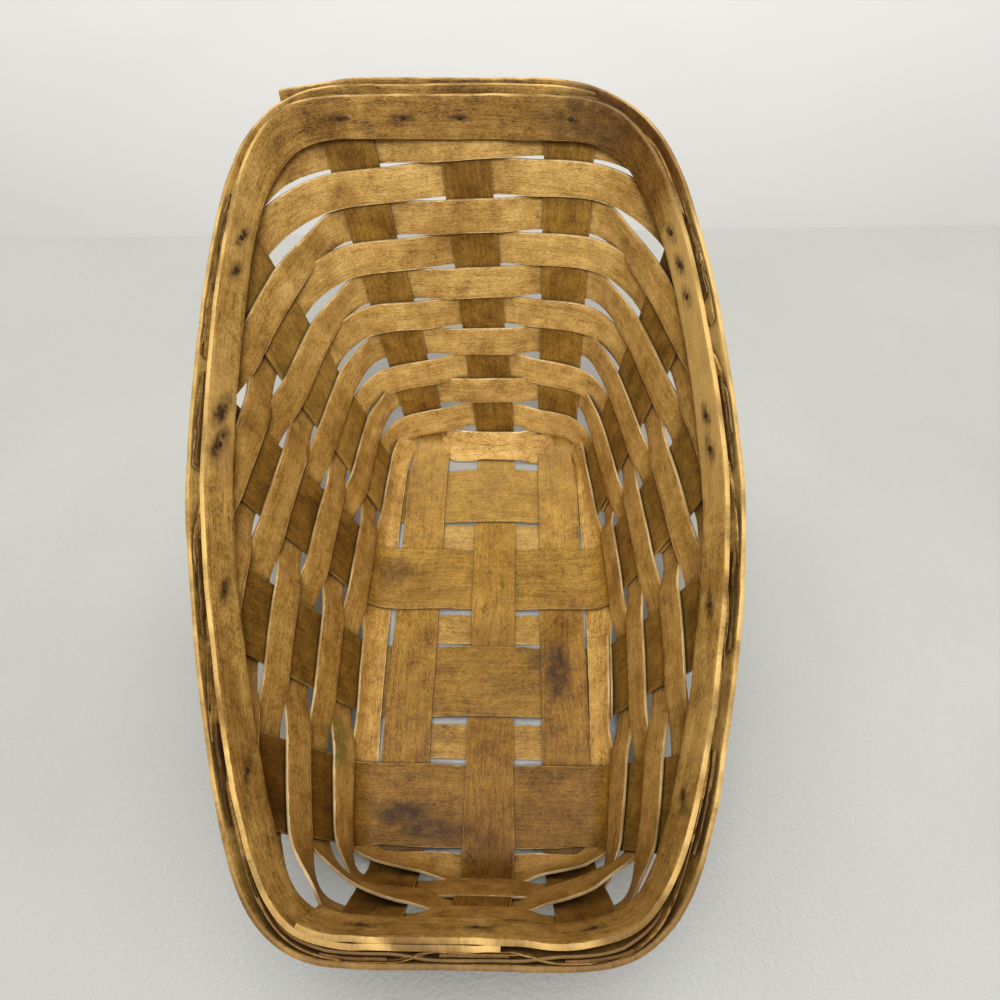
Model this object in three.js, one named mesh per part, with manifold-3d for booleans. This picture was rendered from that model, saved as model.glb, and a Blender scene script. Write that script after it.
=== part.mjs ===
// Woven splint sleigh basket: low open front, tall back, tacked rim bands.
// Millimetres. X to the right, Y from the low front to the tall back, Z up.
import * as THREE from 'three';
import { mergeVertices } from 'three/addons/utils/BufferGeometryUtils.js';
import Module from 'manifold-3d';

const wasm = await Module();
wasm.setup();
const { Manifold, Mesh: SolidMesh } = wasm;

// Splint stock
const endSplintWidth = 15.9;
const sideSplintWidth = 25.1;
const fillerWidth = 11.4;
const fillerLength = 68.6;
const splintThickness = 0.8;
const weaverWidth = 11.5;
const weaverThickness = 0.8;
const bandWidth = 12.2;
const bandThickness = 1.5;
const clearance = 0.3;

// Floor, as a nearly square-cornered outline
const floorLength = 156;
const floorCentreY = 2.1;
const floorCentreX = -1.9;
const floorWidthFront = 68;
const floorWidthMiddle = 71;
const floorWidthBack = 69;
const floorSquareness = 18;

// Rim, a larger and rounder outline that leans a little to the left
const rimLength = 218.2;
const rimCentreY = 2.6;
const rimCentreFront = -3.9;
const rimCentreMiddle = -6.8;
const rimCentreBack = -13.2;
const rimWidthFront = 100.5;
const rimWidthMiddle = 149.4;
const rimWidthBack = 123;
const rimWidestY = 5.4;
const rimSquareness = 7;
const rimHeightFront = 54.4;
const rimHeightMiddle = 85.5;
const rimHeightBack = 134.8;

// Radius of the bend from the floor into each wall
const footRadiusSide = 10.3;
const footRadiusFront = 8.5;
const footRadiusBack = 2;

// Weaving
const rowGap = 0.54;
const firstRowStart = 0.3;
const cornerLift = 3.6;
const rowLeast = 3;
const splintTuck = 0.9;
const overlapReach = 2.2;
const passMargin = 0.6;
const cornerLean = 1.7;
const footSettle = 4;
const footGap = 1;
// Side splint and wall at which each all-round row laps over itself
const rowJoins = [[2, 'right'], [0, 'right'], [1, 'left'], [2, 'left'], [1, 'right']];

// Rim band ends, in degrees round from the right side, and the straight tail at the back left
const innerBandStart = 231;
const innerBandEnd = 280;
const outerBandStart = 54.5;
const outerBandEnd = 121;
const bandTail = 16;
const backRise = 1.4;

// Facets
const wallStation = 24;
const longestStep = 17;
const largestTurn = 0.15;
const bandTurn = 0.14;
const rampSteps = 4;
const tackSides = 6;

// Uprights: place as a share of the half floor, and sideways lean per millimetre of height
const endSplints = [
  { name: 'left', share: -0.738, leanBack: -0.142, leanFront: -0.014, backInside: false },
  { name: 'center', share: 0.054, leanBack: -0.076, leanFront: -0.023, backInside: true },
  { name: 'right', share: 0.766, leanBack: -0.012, leanFront: 0.044, backInside: false },
];
const sideSplints = [
  { share: 0.699, leanLeft: 0.13, leanRight: 0.11, tacksLeft: 2, tacksRight: 3 },
  { share: 0.212, leanLeft: 0.035, leanRight: 0.035, tacksLeft: 2, tacksRight: 2 },
  { share: -0.301, leanLeft: -0.02, leanRight: -0.05, tacksLeft: 1, tacksRight: 1 },
  { share: -0.829, leanLeft: -0.085, leanRight: -0.17, tacksLeft: 1, tacksRight: 1 },
];
endSplints.forEach((s) => { s.x = floorCentreX + (s.share * floorWidthMiddle) / 2; });
sideSplints.forEach((s) => { s.y = floorCentreY + (s.share * floorLength) / 2; });

// Tacks
const tackShankRadius = 0.45;
const tackHeadRadius = 1.3;
const tackHeadThickness = 0.5;
const tackSpacing = 9;

// Colours
const mapleLight = 0xc69a58;
const mapleMid = 0xa57c42;
const mapleDark = 0x8a6433;
const ironDark = 0x2e2016;

const rowPitch = weaverWidth + rowGap;
const layerStep = splintThickness / 2 + clearance + weaverThickness / 2;
const floorStep = (splintThickness + clearance) / 2;
const secondLayer = layerStep + weaverThickness + clearance;
const pinchStep = layerStep / 2;
const bandOffset = layerStep + weaverThickness / 2 + clearance + bandThickness / 2;
const pinchedOffset = pinchStep + splintThickness / 2 + clearance + bandThickness / 2;
const bandStep = bandThickness + clearance;
const fillerDrop = 2 * floorStep + 0.3;
const tackDrop = bandWidth / 2;
const rowDrop = tackDrop + tackShankRadius + 2.5 * clearance;
const turn = 2 * Math.PI;
const degrees = Math.PI / 180;
const middleBack = 90 * degrees;
const middleFront = 270 * degrees;

const smooth = (t) => {
  const c = Math.min(Math.max(t, 0), 1);
  return c * c * (3 - 2 * c);
};
const lerp = (a, b, t) => a + (b - a) * t;

// Half width of an outline that tapers from its widest place to both ends
function taper(y, front, back, widest, halfFront, halfMiddle, halfBack) {
  const toFront = Math.min(Math.max((widest - y) / (widest - front), 0), 1);
  const toBack = Math.min(Math.max((y - widest) / (back - widest), 0), 1);
  const loss = (halfMiddle - halfFront) * toFront ** 1.4 + (halfMiddle - halfBack) * toBack ** 2.2;
  return halfMiddle - loss;
}

// Unit squircle at an angle, which gives both outlines the same corners
function squircle(angle, squareness) {
  const c = Math.cos(angle);
  const s = Math.sin(angle);
  const reach = (Math.abs(c) ** squareness + Math.abs(s) ** squareness) ** (-1 / squareness);
  return [c * reach, s * reach];
}

function floorOutline(angle) {
  const [u, v] = squircle(angle, floorSquareness);
  const y = floorCentreY + (floorLength / 2) * v;
  const front = floorCentreY - floorLength / 2;
  const back = floorCentreY + floorLength / 2;
  const half = taper(y, front, back, 0, floorWidthFront / 2, floorWidthMiddle / 2, floorWidthBack / 2);
  return [floorCentreX + half * u, y];
}

// Parabola through values at the front, the widest place and the back of the rim
const rimFront = rimCentreY - rimLength / 2;
const rimBack = rimCentreY + rimLength / 2;
function alongRim(y, atFront, atWidest, atBack) {
  const [a, b, c] = [rimFront, rimWidestY, rimBack];
  const front = (atFront * (y - b) * (y - c)) / ((a - b) * (a - c));
  const widest = (atWidest * (y - a) * (y - c)) / ((b - a) * (b - c));
  const back = (atBack * (y - a) * (y - b)) / ((c - a) * (c - b));
  return front + widest + back;
}

function rimOutline(angle) {
  const [u, v] = squircle(angle, rimSquareness);
  const y = rimCentreY + (rimLength / 2) * v;
  const halves = [rimWidthFront, rimWidthMiddle, rimWidthBack].map((width) => width / 2);
  const half = taper(y, rimFront, rimBack, rimWidestY, ...halves);
  return [alongRim(y, rimCentreFront, rimCentreMiddle, rimCentreBack) + half * u, y];
}

const rimHeight = (y) => alongRim(y, rimHeightFront, rimHeightMiddle, rimHeightBack);

// Wall profile at an angle: a bend out of the floor, then a straight slope to the rim
function profileAt(angle) {
  const [fx, fy] = floorOutline(angle);
  const [rx, ry] = rimOutline(angle);
  const run = Math.hypot(rx - fx, ry - fy);
  const ex = (rx - fx) / run;
  const ey = (ry - fy) / run;
  const height = rimHeight(ry);
  const endRadius = ey < 0 ? footRadiusFront : footRadiusBack;
  const radius = footRadiusSide * ex * ex + endRadius * ey * ey;
  const straight = Math.sqrt(run * run + (height - radius) ** 2 - radius * radius);
  const slope = Math.atan2(height - radius, run) + Math.atan2(radius, straight);
  return { fx, fy, ex, ey, radius, slope, top: radius * slope + straight };
}

// Point of the woven skin: an angle around the basket and a distance up the wall
function skinPoint(angle, up) {
  const p = profileAt(angle);
  const bend = Math.min(Math.max(up, 0), p.radius * p.slope) / p.radius;
  const rest = Math.max(up - p.radius * p.slope, 0);
  const flat = Math.min(up, 0);
  const out = flat + p.radius * Math.sin(bend) + rest * Math.cos(p.slope);
  const z = p.radius * (1 - Math.cos(bend)) + rest * Math.sin(p.slope);
  return new THREE.Vector3(p.fx + p.ex * out, p.fy + p.ey * out, z);
}

// Direction into the basket, square to the skin
function skinNormal(angle, up) {
  const d = 0.002;
  const along = skinPoint(angle + d, up).sub(skinPoint(angle - d, up));
  const rise = skinPoint(angle, up + 0.2).sub(skinPoint(angle, up - 0.2));
  return rise.cross(along).normalize();
}

const rimTop = (angle) => profileAt(angle).top;

// Rows that fit below the rim: the full ones go all round, the others end at the sloping rim
const rowLow = (index) => firstRowStart + index * rowPitch;
const rowsBelow = (angle) => Math.ceil((rimTop(angle) - rowDrop - rowLeast - firstRowStart) / rowPitch);
const rowCount = rowsBelow(middleBack);
const fullRows = rowsBelow(middleFront);

// At the front the rim pinches the splints and the topmost full row together
const pinchStart = rowLow(fullRows - 1) - rowGap + 0.1;
const frontShare = (angle) => smooth((-Math.sin(angle) - 0.65) / 0.13);
const bandOffsetAt = (angle) => lerp(bandOffset, pinchedOffset, frontShare(angle));

// Length of the skin from the front right corner round to an angle, at one height
function walkTable(up, steps = 1440) {
  const table = [0];
  let last = skinPoint(0, up);
  for (let i = 1; i <= steps; i += 1) {
    const next = skinPoint((turn * i) / steps, up);
    table.push(table[i - 1] + next.distanceTo(last));
    last = next;
  }
  return table;
}

// Angle of a walked distance, and the distance of an angle, on any number of turns
function angleOf(table, distance) {
  const total = table[table.length - 1];
  const turns = Math.floor(distance / total);
  const rest = distance - turns * total;
  let low = 0;
  let high = table.length - 1;
  while (high - low > 1) {
    const middle = (low + high) >> 1;
    if (table[middle] <= rest) low = middle;
    else high = middle;
  }
  const part = (rest - table[low]) / (table[high] - table[low]);
  return turn * (turns + (low + part) / (table.length - 1));
}

function distanceOf(table, angle) {
  const turns = Math.floor(angle / turn);
  const place = ((angle - turns * turn) / turn) * (table.length - 1);
  const low = Math.min(Math.floor(place), table.length - 2);
  return turns * table[table.length - 1] + lerp(table[low], table[low + 1], place - low);
}

// Where an upright's middle crosses the wall at one height
function uprightAngle(upright, up) {
  const coordinate = (angle) => skinPoint(angle, up)[upright.axis];
  let angle = upright.start;
  for (let i = 0; i < 60; i += 1) {
    const want = upright.place + upright.lean * skinPoint(angle, up).z;
    const miss = coordinate(angle) - want;
    if (Math.abs(miss) < 1e-5) break;
    const rate = (coordinate(angle + 0.001) - coordinate(angle)) / 0.001;
    angle -= Math.max(Math.min(miss / rate, 0.1), -0.1);
  }
  return angle;
}

// Angle that lies a walked distance to the side of an upright's middle
function besideUpright(upright, up, side) {
  const steps = Math.max(1, Math.ceil(Math.abs(side) / 1.2));
  let angle = uprightAngle(upright, up);
  const speed = (at) => skinPoint(at + 0.002, up).distanceTo(skinPoint(at - 0.002, up)) / 0.004;
  for (let i = 0; i < steps; i += 1) {
    const guess = angle + side / steps / speed(angle) / 2;
    angle += side / steps / speed(guess);
  }
  return angle;
}

// Both wall crossings of every splint; sign is the way in which the angle grows along X or Y
const crossing = (splint, wall, axis, lean, inside, tacks) => ({
  splint,
  wall,
  axis,
  lean,
  inside,
  tacks,
  place: splint[axis],
  width: axis === 'x' ? endSplintWidth : sideSplintWidth,
  start: { right: 0, back: 90, left: 180, front: 270 }[wall] * degrees,
  sign: wall === 'front' || wall === 'right' ? 1 : -1,
});
const uprights = [];
sideSplints.forEach((s, i) => {
  uprights.push(crossing(s, 'left', 'y', s.leanLeft, i % 2 === 0, s.tacksLeft));
  uprights.push(crossing(s, 'right', 'y', s.leanRight, i % 2 === 0, s.tacksRight));
});
endSplints.forEach((s) => {
  uprights.push(crossing(s, 'front', 'x', s.leanFront, !s.backInside, 1));
  uprights.push(crossing(s, 'back', 'x', s.leanBack, s.backInside, 1));
});

// A closed strip through rings of points, every ring with the same count
function stripFromRings(rings) {
  const count = rings[0].length;
  const points = rings.flat();
  const triangles = [];
  for (let i = 0; i < rings.length - 1; i += 1) {
    for (let j = 0; j < count; j += 1) {
      const a = i * count + j;
      const b = i * count + ((j + 1) % count);
      triangles.push(a, b, a + count, b, b + count, a + count);
    }
  }
  const last = (rings.length - 1) * count;
  for (let j = 0; j < count / 2 - 1; j += 1) {
    const k = count - 1 - j;
    triangles.push(j + 1, j, k, j + 1, k, k - 1);
    triangles.push(last + j, last + j + 1, last + k, last + j + 1, last + k - 1, last + k);
  }
  let volume = 0;
  for (let i = 0; i < triangles.length; i += 3) {
    const [a, b, c] = triangles.slice(i, i + 3).map((n) => points[n]);
    volume += a.dot(b.clone().cross(c));
  }
  if (volume < 0) triangles.reverse();
  const geometry = new THREE.BufferGeometry().setFromPoints(points);
  geometry.setIndex(triangles);
  return geometry;
}

// One ring across a strip: samples on its outer face, then back along its inner face
function skinRing(samples, offset, thickness) {
  const face = (side) => samples.map(({ angle, up, shift = 0 }) => {
    const reach = offset + shift + (side * thickness) / 2;
    return skinPoint(angle, up).addScaledVector(skinNormal(angle, up), reach);
  });
  return [...face(-1), ...face(1).reverse()];
}

// Height of a strip on the floor: flat over each crossing, with a ramp from one to the next
function crossingHeight(place, crossings, half) {
  const height = (over) => (over ? floorStep : -floorStep);
  let z = height(crossings[0].over);
  for (let i = 0; i < crossings.length - 1; i += 1) {
    const from = crossings[i].at + half + clearance;
    const to = crossings[i + 1].at - half - clearance;
    if (place > from) {
      const share = smooth((place - from) / (to - from));
      z = lerp(height(crossings[i].over), height(crossings[i + 1].over), share);
    }
  }
  return z;
}

// A splint that runs down one wall, across the floor and up the other
function buildSplint(first, second, crossings, half, acrossCount) {
  const { axis, place, width } = first;
  const across = [...Array(acrossCount + 1).keys()].map((i) => (2 * i) / acrossCount - 1);

  const wallRings = (upright, over) => {
    const side = across.map((a) => (a * width * upright.sign) / 2);
    const tops = side.map((distance) => {
      let up = rimTop(upright.start) - splintTuck;
      for (let i = 0; i < 8; i += 1) up = rimTop(besideUpright(upright, up, distance)) - splintTuck;
      return up;
    });
    const foot = profileAt(uprightAngle(upright, 0));
    const bend = foot.radius * foot.slope;
    const settled = bend + footSettle;
    const levels = [0, 0.33, 0.67, 1].map((t) => t * bend);
    levels.push(settled);
    const pieces = Math.ceil((Math.min(...tops) - settled) / wallStation);
    const hold = over ? floorStep : -floorStep;
    const rings = levels.map((level) => skinRing(
      side.map((distance) => ({ angle: besideUpright(upright, level, distance), up: level })),
      hold * (1 - smooth(level / settled)), splintThickness));
    const climb = (from, to, offset, count) => {
      for (let i = 1; i <= count; i += 1) {
        const samples = side.map((distance, j) => {
          const up = lerp(from, Math.min(to, tops[j]), i / count);
          return { angle: besideUpright(upright, up, distance), up };
        });
        rings.push(skinRing(samples, offset, splintThickness));
      }
    };
    if (upright.wall === 'front') {
      const pinched = upright.inside === ((fullRows - 1) % 2 === 0) ? -pinchStep : pinchStep;
      climb(settled, pinchStart, 0, 2);
      climb(pinchStart, pinchStart + rowGap - 0.2, pinched, 1);
      climb(pinchStart + rowGap - 0.2, Infinity, pinched, 1);
    } else {
      climb(settled, Infinity, 0, pieces);
    }
    return rings;
  };

  const stations = [crossings[0].at + half * 0.4];
  for (let i = 0; i < crossings.length - 1; i += 1) {
    const from = crossings[i].at + half + clearance;
    const to = crossings[i + 1].at - half - clearance;
    [0, 0.33, 0.67, 1].forEach((t) => stations.push(lerp(from, to, t)));
  }
  stations.push(crossings[crossings.length - 1].at - half * 0.4);
  const floorRings = stations.map((at) => {
    const z = crossingHeight(at, crossings, half);
    const face = (shift) => across.map((a) => {
      const aside = place + (a * width) / 2;
      const [x, y] = axis === 'x' ? [aside, at] : [at, aside];
      return new THREE.Vector3(x, y, z + shift);
    });
    return [...face(-splintThickness / 2), ...face(splintThickness / 2).reverse()];
  });
  const down = wallRings(first, crossings[0].over).reverse();
  const upAgain = wallRings(second, crossings[crossings.length - 1].over);
  return stripFromRings([...down, ...floorRings, ...upAgain]);
}

// Splits a walk into stations: none longer than a step, none turning more than a few degrees
function subdivide(table, from, to, up, least) {
  const at = (d) => skinPoint(angleOf(table, d), up);
  let bent = 0;
  let last = null;
  const checks = 12;
  for (let i = 0; i < checks; i += 1) {
    const a = lerp(from, to, i / checks);
    const way = at(lerp(from, to, (i + 1) / checks)).sub(at(a)).normalize();
    if (last) bent += last.angleTo(way);
    last = way;
  }
  const count = Math.max(least, Math.ceil((to - from) / longestStep), Math.ceil(bent / largestTurn));
  return [...Array(count).keys()].map((i) => lerp(from, to, i / count));
}

// One row of weaving: inside one upright and outside the next, all round or down to the rim
function buildRow(index) {
  const low = rowLow(index);
  const middle = low + weaverWidth / 2;
  const table = walkTable(middle);
  const round = table[table.length - 1];
  const passes = uprights.map((upright) => {
    const angle = uprightAngle(upright, middle);
    const distance = distanceOf(table, ((angle % turn) + turn) % turn);
    const side = upright.inside === (index % 2 === 0) ? 1 : -1;
    const pinched = upright.wall === 'front' && index === fullRows - 1;
    const offset = side * (pinched ? pinchStep : layerStep);
    return { upright, distance, half: upright.width / 2 + passMargin, offset };
  }).sort((a, b) => a.distance - b.distance);

  // A row is trimmed along the rim, below the tacks, and ends where little of it is left
  const trimmed = (angle) => Math.min(low + weaverWidth, rimTop(angle) - rowDrop);
  const covered = (angle) => trimmed(angle) - low > rowLeast;
  let walk = [];
  let start;
  let end;
  if (index < fullRows) {
    // The ends lap over one upright, the later end on the far side of the earlier one
    const [splintIndex, wall] = rowJoins[index % rowJoins.length];
    const lap = sideSplints[splintIndex];
    const joint = passes.findIndex(({ upright }) => upright.splint === lap && upright.wall === wall);
    const later = (pass) => ({ ...pass, distance: pass.distance + round });
    const once = [...passes.slice(joint), ...passes.slice(0, joint).map(later)];
    const again = later(passes[joint]);
    again.offset = Math.sign(again.offset) * secondLayer;
    again.half += overlapReach;
    walk = [...once, again];
    start = walk[0].distance - walk[0].half;
    end = again.distance + again.half;
  } else {
    let right = middleBack;
    let left = middleBack;
    while (covered(right)) right -= 0.002;
    while (covered(left)) left += 0.002;
    const unroll = (angle) => distanceOf(table, angle);
    start = unroll(right);
    end = unroll(left);
    const all = [...passes.map((p) => ({ ...p, distance: p.distance - round })), ...passes];
    walk = all.filter((p) => p.distance + p.half > start && p.distance - p.half < end);
  }

  const stations = [];
  const hold = (from, to, offset) => {
    subdivide(table, from, to, middle, 1).forEach((d) => stations.push({ d, offset, lean: 0 }));
  };
  let at = start;
  walk.forEach((pass, i) => {
    const enter = Math.max(pass.distance - pass.half, start);
    const leave = Math.min(pass.distance + pass.half, end);
    if (i > 0 && enter > at) {
      const before = walk[i - 1].offset;
      const corner = walk[i - 1].upright.wall !== pass.upright.wall;
      subdivide(table, at, enter, middle, rampSteps).forEach((d) => {
        const t = (d - at) / (enter - at);
        const lean = corner && index > 0 ? cornerLean * Math.sin(Math.PI * t) ** 2 : 0;
        stations.push({ d, offset: lerp(before, pass.offset, smooth(t)), lean });
      });
    } else if (enter > at) {
      hold(at, enter, pass.offset);
    }
    hold(Math.max(at, enter), leave, pass.offset);
    at = leave;
  });
  const lastOffset = walk[walk.length - 1].offset;
  if (end > at) hold(at, end, lastOffset);
  stations.push({ d: end, offset: lastOffset, lean: 0 });

  // The first row lies on the bend at the foot of the wall and is trimmed at the corners
  const rings = stations.map(({ d, offset, lean }) => {
    const angle = angleOf(table, d);
    const top = trimmed(angle);
    if (index > 0) {
      // Round a corner, where the wall slopes most, a row stands more upright than the wall
      const free = smooth((rimTop(angle) - bandWidth - top) / rowPitch + 0.5);
      const edges = [{ angle, up: low, shift: -lean * free }, { angle, up: top, shift: lean * free }];
      return skinRing(edges, offset, weaverThickness);
    }
    const foot = profileAt(angle);
    const bottom = low + Math.max(footGap, cornerLift * cornerShare(angle));
    const bent = Math.min(Math.max(foot.radius * foot.slope, bottom + 0.6), top - 0.6);
    const ups = [bottom, lerp(bottom, bent, 0.5), bent, top].sort((a, b) => a - b);
    if (bent > lerp(bottom, top, 0.7)) [1, 2].forEach((i) => { ups[i] = lerp(bottom, top, i / 3); });
    return skinRing(ups.map((up) => ({ angle, up })), offset, weaverThickness);
  });
  return stripFromRings(rings);
}

// How near an angle is to one of the four corners of the floor
function cornerShare(angle) {
  const [u, v] = squircle(angle, floorSquareness);
  return smooth((Math.min(Math.abs(u), Math.abs(v)) - 0.8) / 0.12);
}

// A rim band along the sloping rim: its distance from the skin and its rise at each angle
function buildBand(from, to, layerAt, riseAt, tailLength) {
  const centre = (angle) => {
    const up = rimTop(angle) + riseAt(angle) - bandWidth / 2;
    return skinPoint(angle, up).addScaledVector(skinNormal(angle, up), layerAt(angle));
  };
  const angles = [from];
  const d = 0.5 * degrees;
  let last = from;
  let heading = centre(from + d).sub(centre(from)).normalize();
  for (let a = from + d; a < to - d; a += d) {
    const way = centre(a + d).sub(centre(a)).normalize();
    const farEnough = centre(a).distanceTo(centre(last)) > longestStep;
    if (farEnough || way.angleTo(heading) > bandTurn) {
      angles.push(a);
      last = a;
      heading = way;
    }
  }
  angles.push(to);
  const rings = angles.map((angle) => {
    const top = rimTop(angle) + riseAt(angle);
    return skinRing([{ angle, up: top - bandWidth }, { angle, up: top }], layerAt(angle), bandThickness);
  });
  if (tailLength > 0) {
    const ahead = centre(to).sub(centre(to - d)).normalize().multiplyScalar(tailLength);
    rings.push(rings[rings.length - 1].map((p) => p.clone().add(ahead)));
  }
  return stripFromRings(rings);
}

// Every piece but the tacks
const pieces = [];
const addPiece = (name, geometry, color) => pieces.push({ name, geometry, color });
const wallsOf = (splint, walls) => walls.map((wall) =>
  uprights.find((u) => u.splint === splint && u.wall === wall));

endSplints.forEach((s, i) => {
  const crossings = sideSplints.map((t, j) => ({ at: t.y, over: (i + j) % 2 === 0 })).reverse();
  const [front, back] = wallsOf(s, ['front', 'back']);
  const strip = buildSplint(front, back, crossings, sideSplintWidth / 2, 3);
  addPiece(`end_splint_${s.name}`, strip, mapleMid);
});
sideSplints.forEach((s, j) => {
  const crossings = endSplints.map((t, i) => ({ at: t.x, over: (i + j) % 2 === 1 }));
  const [left, right] = wallsOf(s, ['left', 'right']);
  const strip = buildSplint(left, right, crossings, endSplintWidth / 2, 3);
  addPiece(`side_splint_${j + 1}`, strip, mapleDark);
});

// Fillers close the floor between the side splints, below the end splints
for (let j = 0; j < sideSplints.length - 1; j += 1) {
  const y = (sideSplints[j].y + sideSplints[j + 1].y) / 2;
  const filler = new THREE.BoxGeometry(fillerLength, fillerWidth, splintThickness);
  addPiece(`floor_filler_${j + 1}`, filler.translate(floorCentreX, y, -fillerDrop), mapleLight);
}

for (let index = 0; index < rowCount; index += 1) {
  addPiece(`weaver_row_${String(index + 1).padStart(2, '0')}`, buildRow(index), mapleMid);
}

// The inner band starts on top of its own far end, at the front left corner
const innerLayer = (angle) => {
  const second = 1 - smooth((angle - innerRampStart) / (innerRampEnd - innerRampStart));
  return bandOffsetAt(angle) + bandStep * second;
};
const innerStart = innerBandStart * degrees;
const innerEnd = (innerBandEnd + 360) * degrees;
const innerRampStart = (innerBandEnd + 3) * degrees;
const innerRampEnd = (innerBandEnd + 20) * degrees;
addPiece('rim_band_inner', buildBand(innerStart, innerEnd, innerLayer, () => 0, 0), mapleLight);

// The outer band ends outside its own start, across the back, and runs on straight past the corner
const outerRampStart = (outerBandStart + 360 - 22) * degrees;
const outerRampEnd = (outerBandStart + 360 - 4) * degrees;
const outerLayer = (angle) => {
  const second = smooth((angle - outerRampStart) / (outerRampEnd - outerRampStart));
  return -bandOffsetAt(angle) - bandStep * second;
};
// Across the back each outer layer stands a little above the one inside it
const outerRise = (angle) => {
  const back = smooth((Math.sin(angle) - 0.72) / 0.2);
  return back * backRise * (1 + smooth((angle - outerRampStart) / 0.3));
};
const outerStart = outerBandStart * degrees;
const outerEnd = (outerBandEnd + 360) * degrees;
addPiece('rim_band_outer', buildBand(outerStart, outerEnd, outerLayer, outerRise, bandTail), mapleLight);

// Tacks through the inner band, the upright and the outer band
const tackLine = (angle) => rimTop(angle) - tackDrop;
const tackAngle = (upright, side) => {
  const up = tackLine(uprightAngle(upright, tackLine(upright.start)));
  return besideUpright(upright, up, side);
};
const tackSpots = uprights.flatMap((upright) => [...Array(upright.tacks).keys()].map((i) =>
  tackAngle(upright, (i - (upright.tacks - 1) / 2) * tackSpacing)));

// One more tack halfway between the left and the middle splint of the back
const backUprights = uprights.filter((u) => u.wall === 'back');
tackSpots.push((tackAngle(backUprights[0], 0) + tackAngle(backUprights[1], 0)) / 2);

const tacks = tackSpots.map((spot) => {
  const angle = ((spot % turn) + turn) % turn;
  const inward = skinNormal(angle, tackLine(angle));
  const onInner = angle < innerStart ? angle + turn : angle;
  const onOuter = angle + turn > outerEnd ? angle : angle + turn;
  return {
    place: skinPoint(angle, tackLine(angle)),
    inward,
    seat: innerLayer(onInner) + bandThickness / 2,
    tip: outerLayer(onOuter) - bandThickness / 2,
  };
});

// A headed tack along its own Y axis, with its origin on the skin
function tackGeometry(tack) {
  const head = tack.seat + 1.5 * clearance;
  const tip = tack.tip + clearance;
  const profile = [
    [0, tip],
    [tackShankRadius, tip],
    [tackShankRadius, head],
    [tackHeadRadius, head],
    [tackHeadRadius, head + tackHeadThickness],
    [0, head + tackHeadThickness],
  ];
  return new THREE.LatheGeometry(profile.map(([x, y]) => new THREE.Vector2(x, y)), tackSides);
}

function placeTack(object, tack) {
  object.position.copy(tack.place);
  object.quaternion.setFromUnitVectors(new THREE.Vector3(0, 1, 0), tack.inward);
  return object;
}

// Geometry to closed solid and back, for the holes
function toSolid(geometry) {
  const bare = geometry.clone();
  bare.deleteAttribute('normal');
  bare.deleteAttribute('uv');
  const merged = mergeVertices(bare);
  return new Manifold(new SolidMesh({
    numProp: 3,
    vertProperties: new Float32Array(merged.getAttribute('position').array),
    triVerts: new Uint32Array(merged.index.array),
  }));
}

function toGeometry(solid) {
  const mesh = solid.getMesh();
  const geometry = new THREE.BufferGeometry();
  const points = [];
  for (let i = 0; i < mesh.numVert; i += 1) points.push(...mesh.position(i));
  geometry.setAttribute('position', new THREE.Float32BufferAttribute(points, 3));
  geometry.setIndex([...mesh.triVerts]);
  return geometry;
}

// A hole is cut in every piece that a tack passes through
const holeRadius = tackShankRadius + clearance;
const holes = tacks.map((tack) => {
  const length = tack.seat - tack.tip + 2;
  const drill = new THREE.CylinderGeometry(holeRadius, holeRadius, length, tackSides);
  drill.translate(0, (tack.seat + tack.tip) / 2, 0);
  const holder = placeTack(new THREE.Object3D(), tack);
  holder.updateMatrix();
  return toSolid(drill.applyMatrix4(holder.matrix));
});
const meets = (a, b) => [0, 1, 2].every((i) => a.min[i] < b.max[i] && b.min[i] < a.max[i]);
pieces.forEach((piece) => {
  const whole = toSolid(piece.geometry);
  const crossed = holes.filter((hole) => meets(hole.boundingBox(), whole.boundingBox()));
  const drilled = crossed.reduce((solid, hole) => solid.subtract(hole), whole);
  if (drilled.volume() < whole.volume() - 0.01) piece.geometry = toGeometry(drilled);
});

const basket = new THREE.Group();
const addMesh = (name, geometry, look) => {
  const faceted = geometry.index ? geometry.toNonIndexed() : geometry;
  faceted.computeVertexNormals();
  const mesh = new THREE.Mesh(faceted, new THREE.MeshStandardMaterial(look));
  mesh.name = name;
  basket.add(mesh);
  return mesh;
};
pieces.forEach(({ name, geometry, color }) => {
  addMesh(name, geometry, { color, roughness: 0.75, metalness: 0 });
});
tacks.forEach((tack, i) => {
  const name = `tack_${String(i + 1).padStart(2, '0')}`;
  const look = { color: ironDark, roughness: 0.6, metalness: 0.8 };
  placeTack(addMesh(name, tackGeometry(tack), look), tack);
});

// The basket stands on Z = 0 with the middle of its outline over the origin
basket.updateMatrixWorld(true);
const box = new THREE.Box3().setFromObject(basket, true);
const middle = box.getCenter(new THREE.Vector3());
basket.position.set(-middle.x, -middle.y, -box.min.z);

const part = new THREE.Group();
part.add(basket);
export default part;
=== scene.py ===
"""Woven splint sleigh basket: every strip laid by itself on the CAD frame's woven skin.

Lengths below are millimetres in the weaving frame, which is the CAD part before it was centred,
and angles go round it from the right side over the back. Meshes are metres in the row frame.
"""

import math
from bisect import bisect_right
from typing import NamedTuple

import bpy
from mathutils import Matrix, Vector, noise


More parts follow.
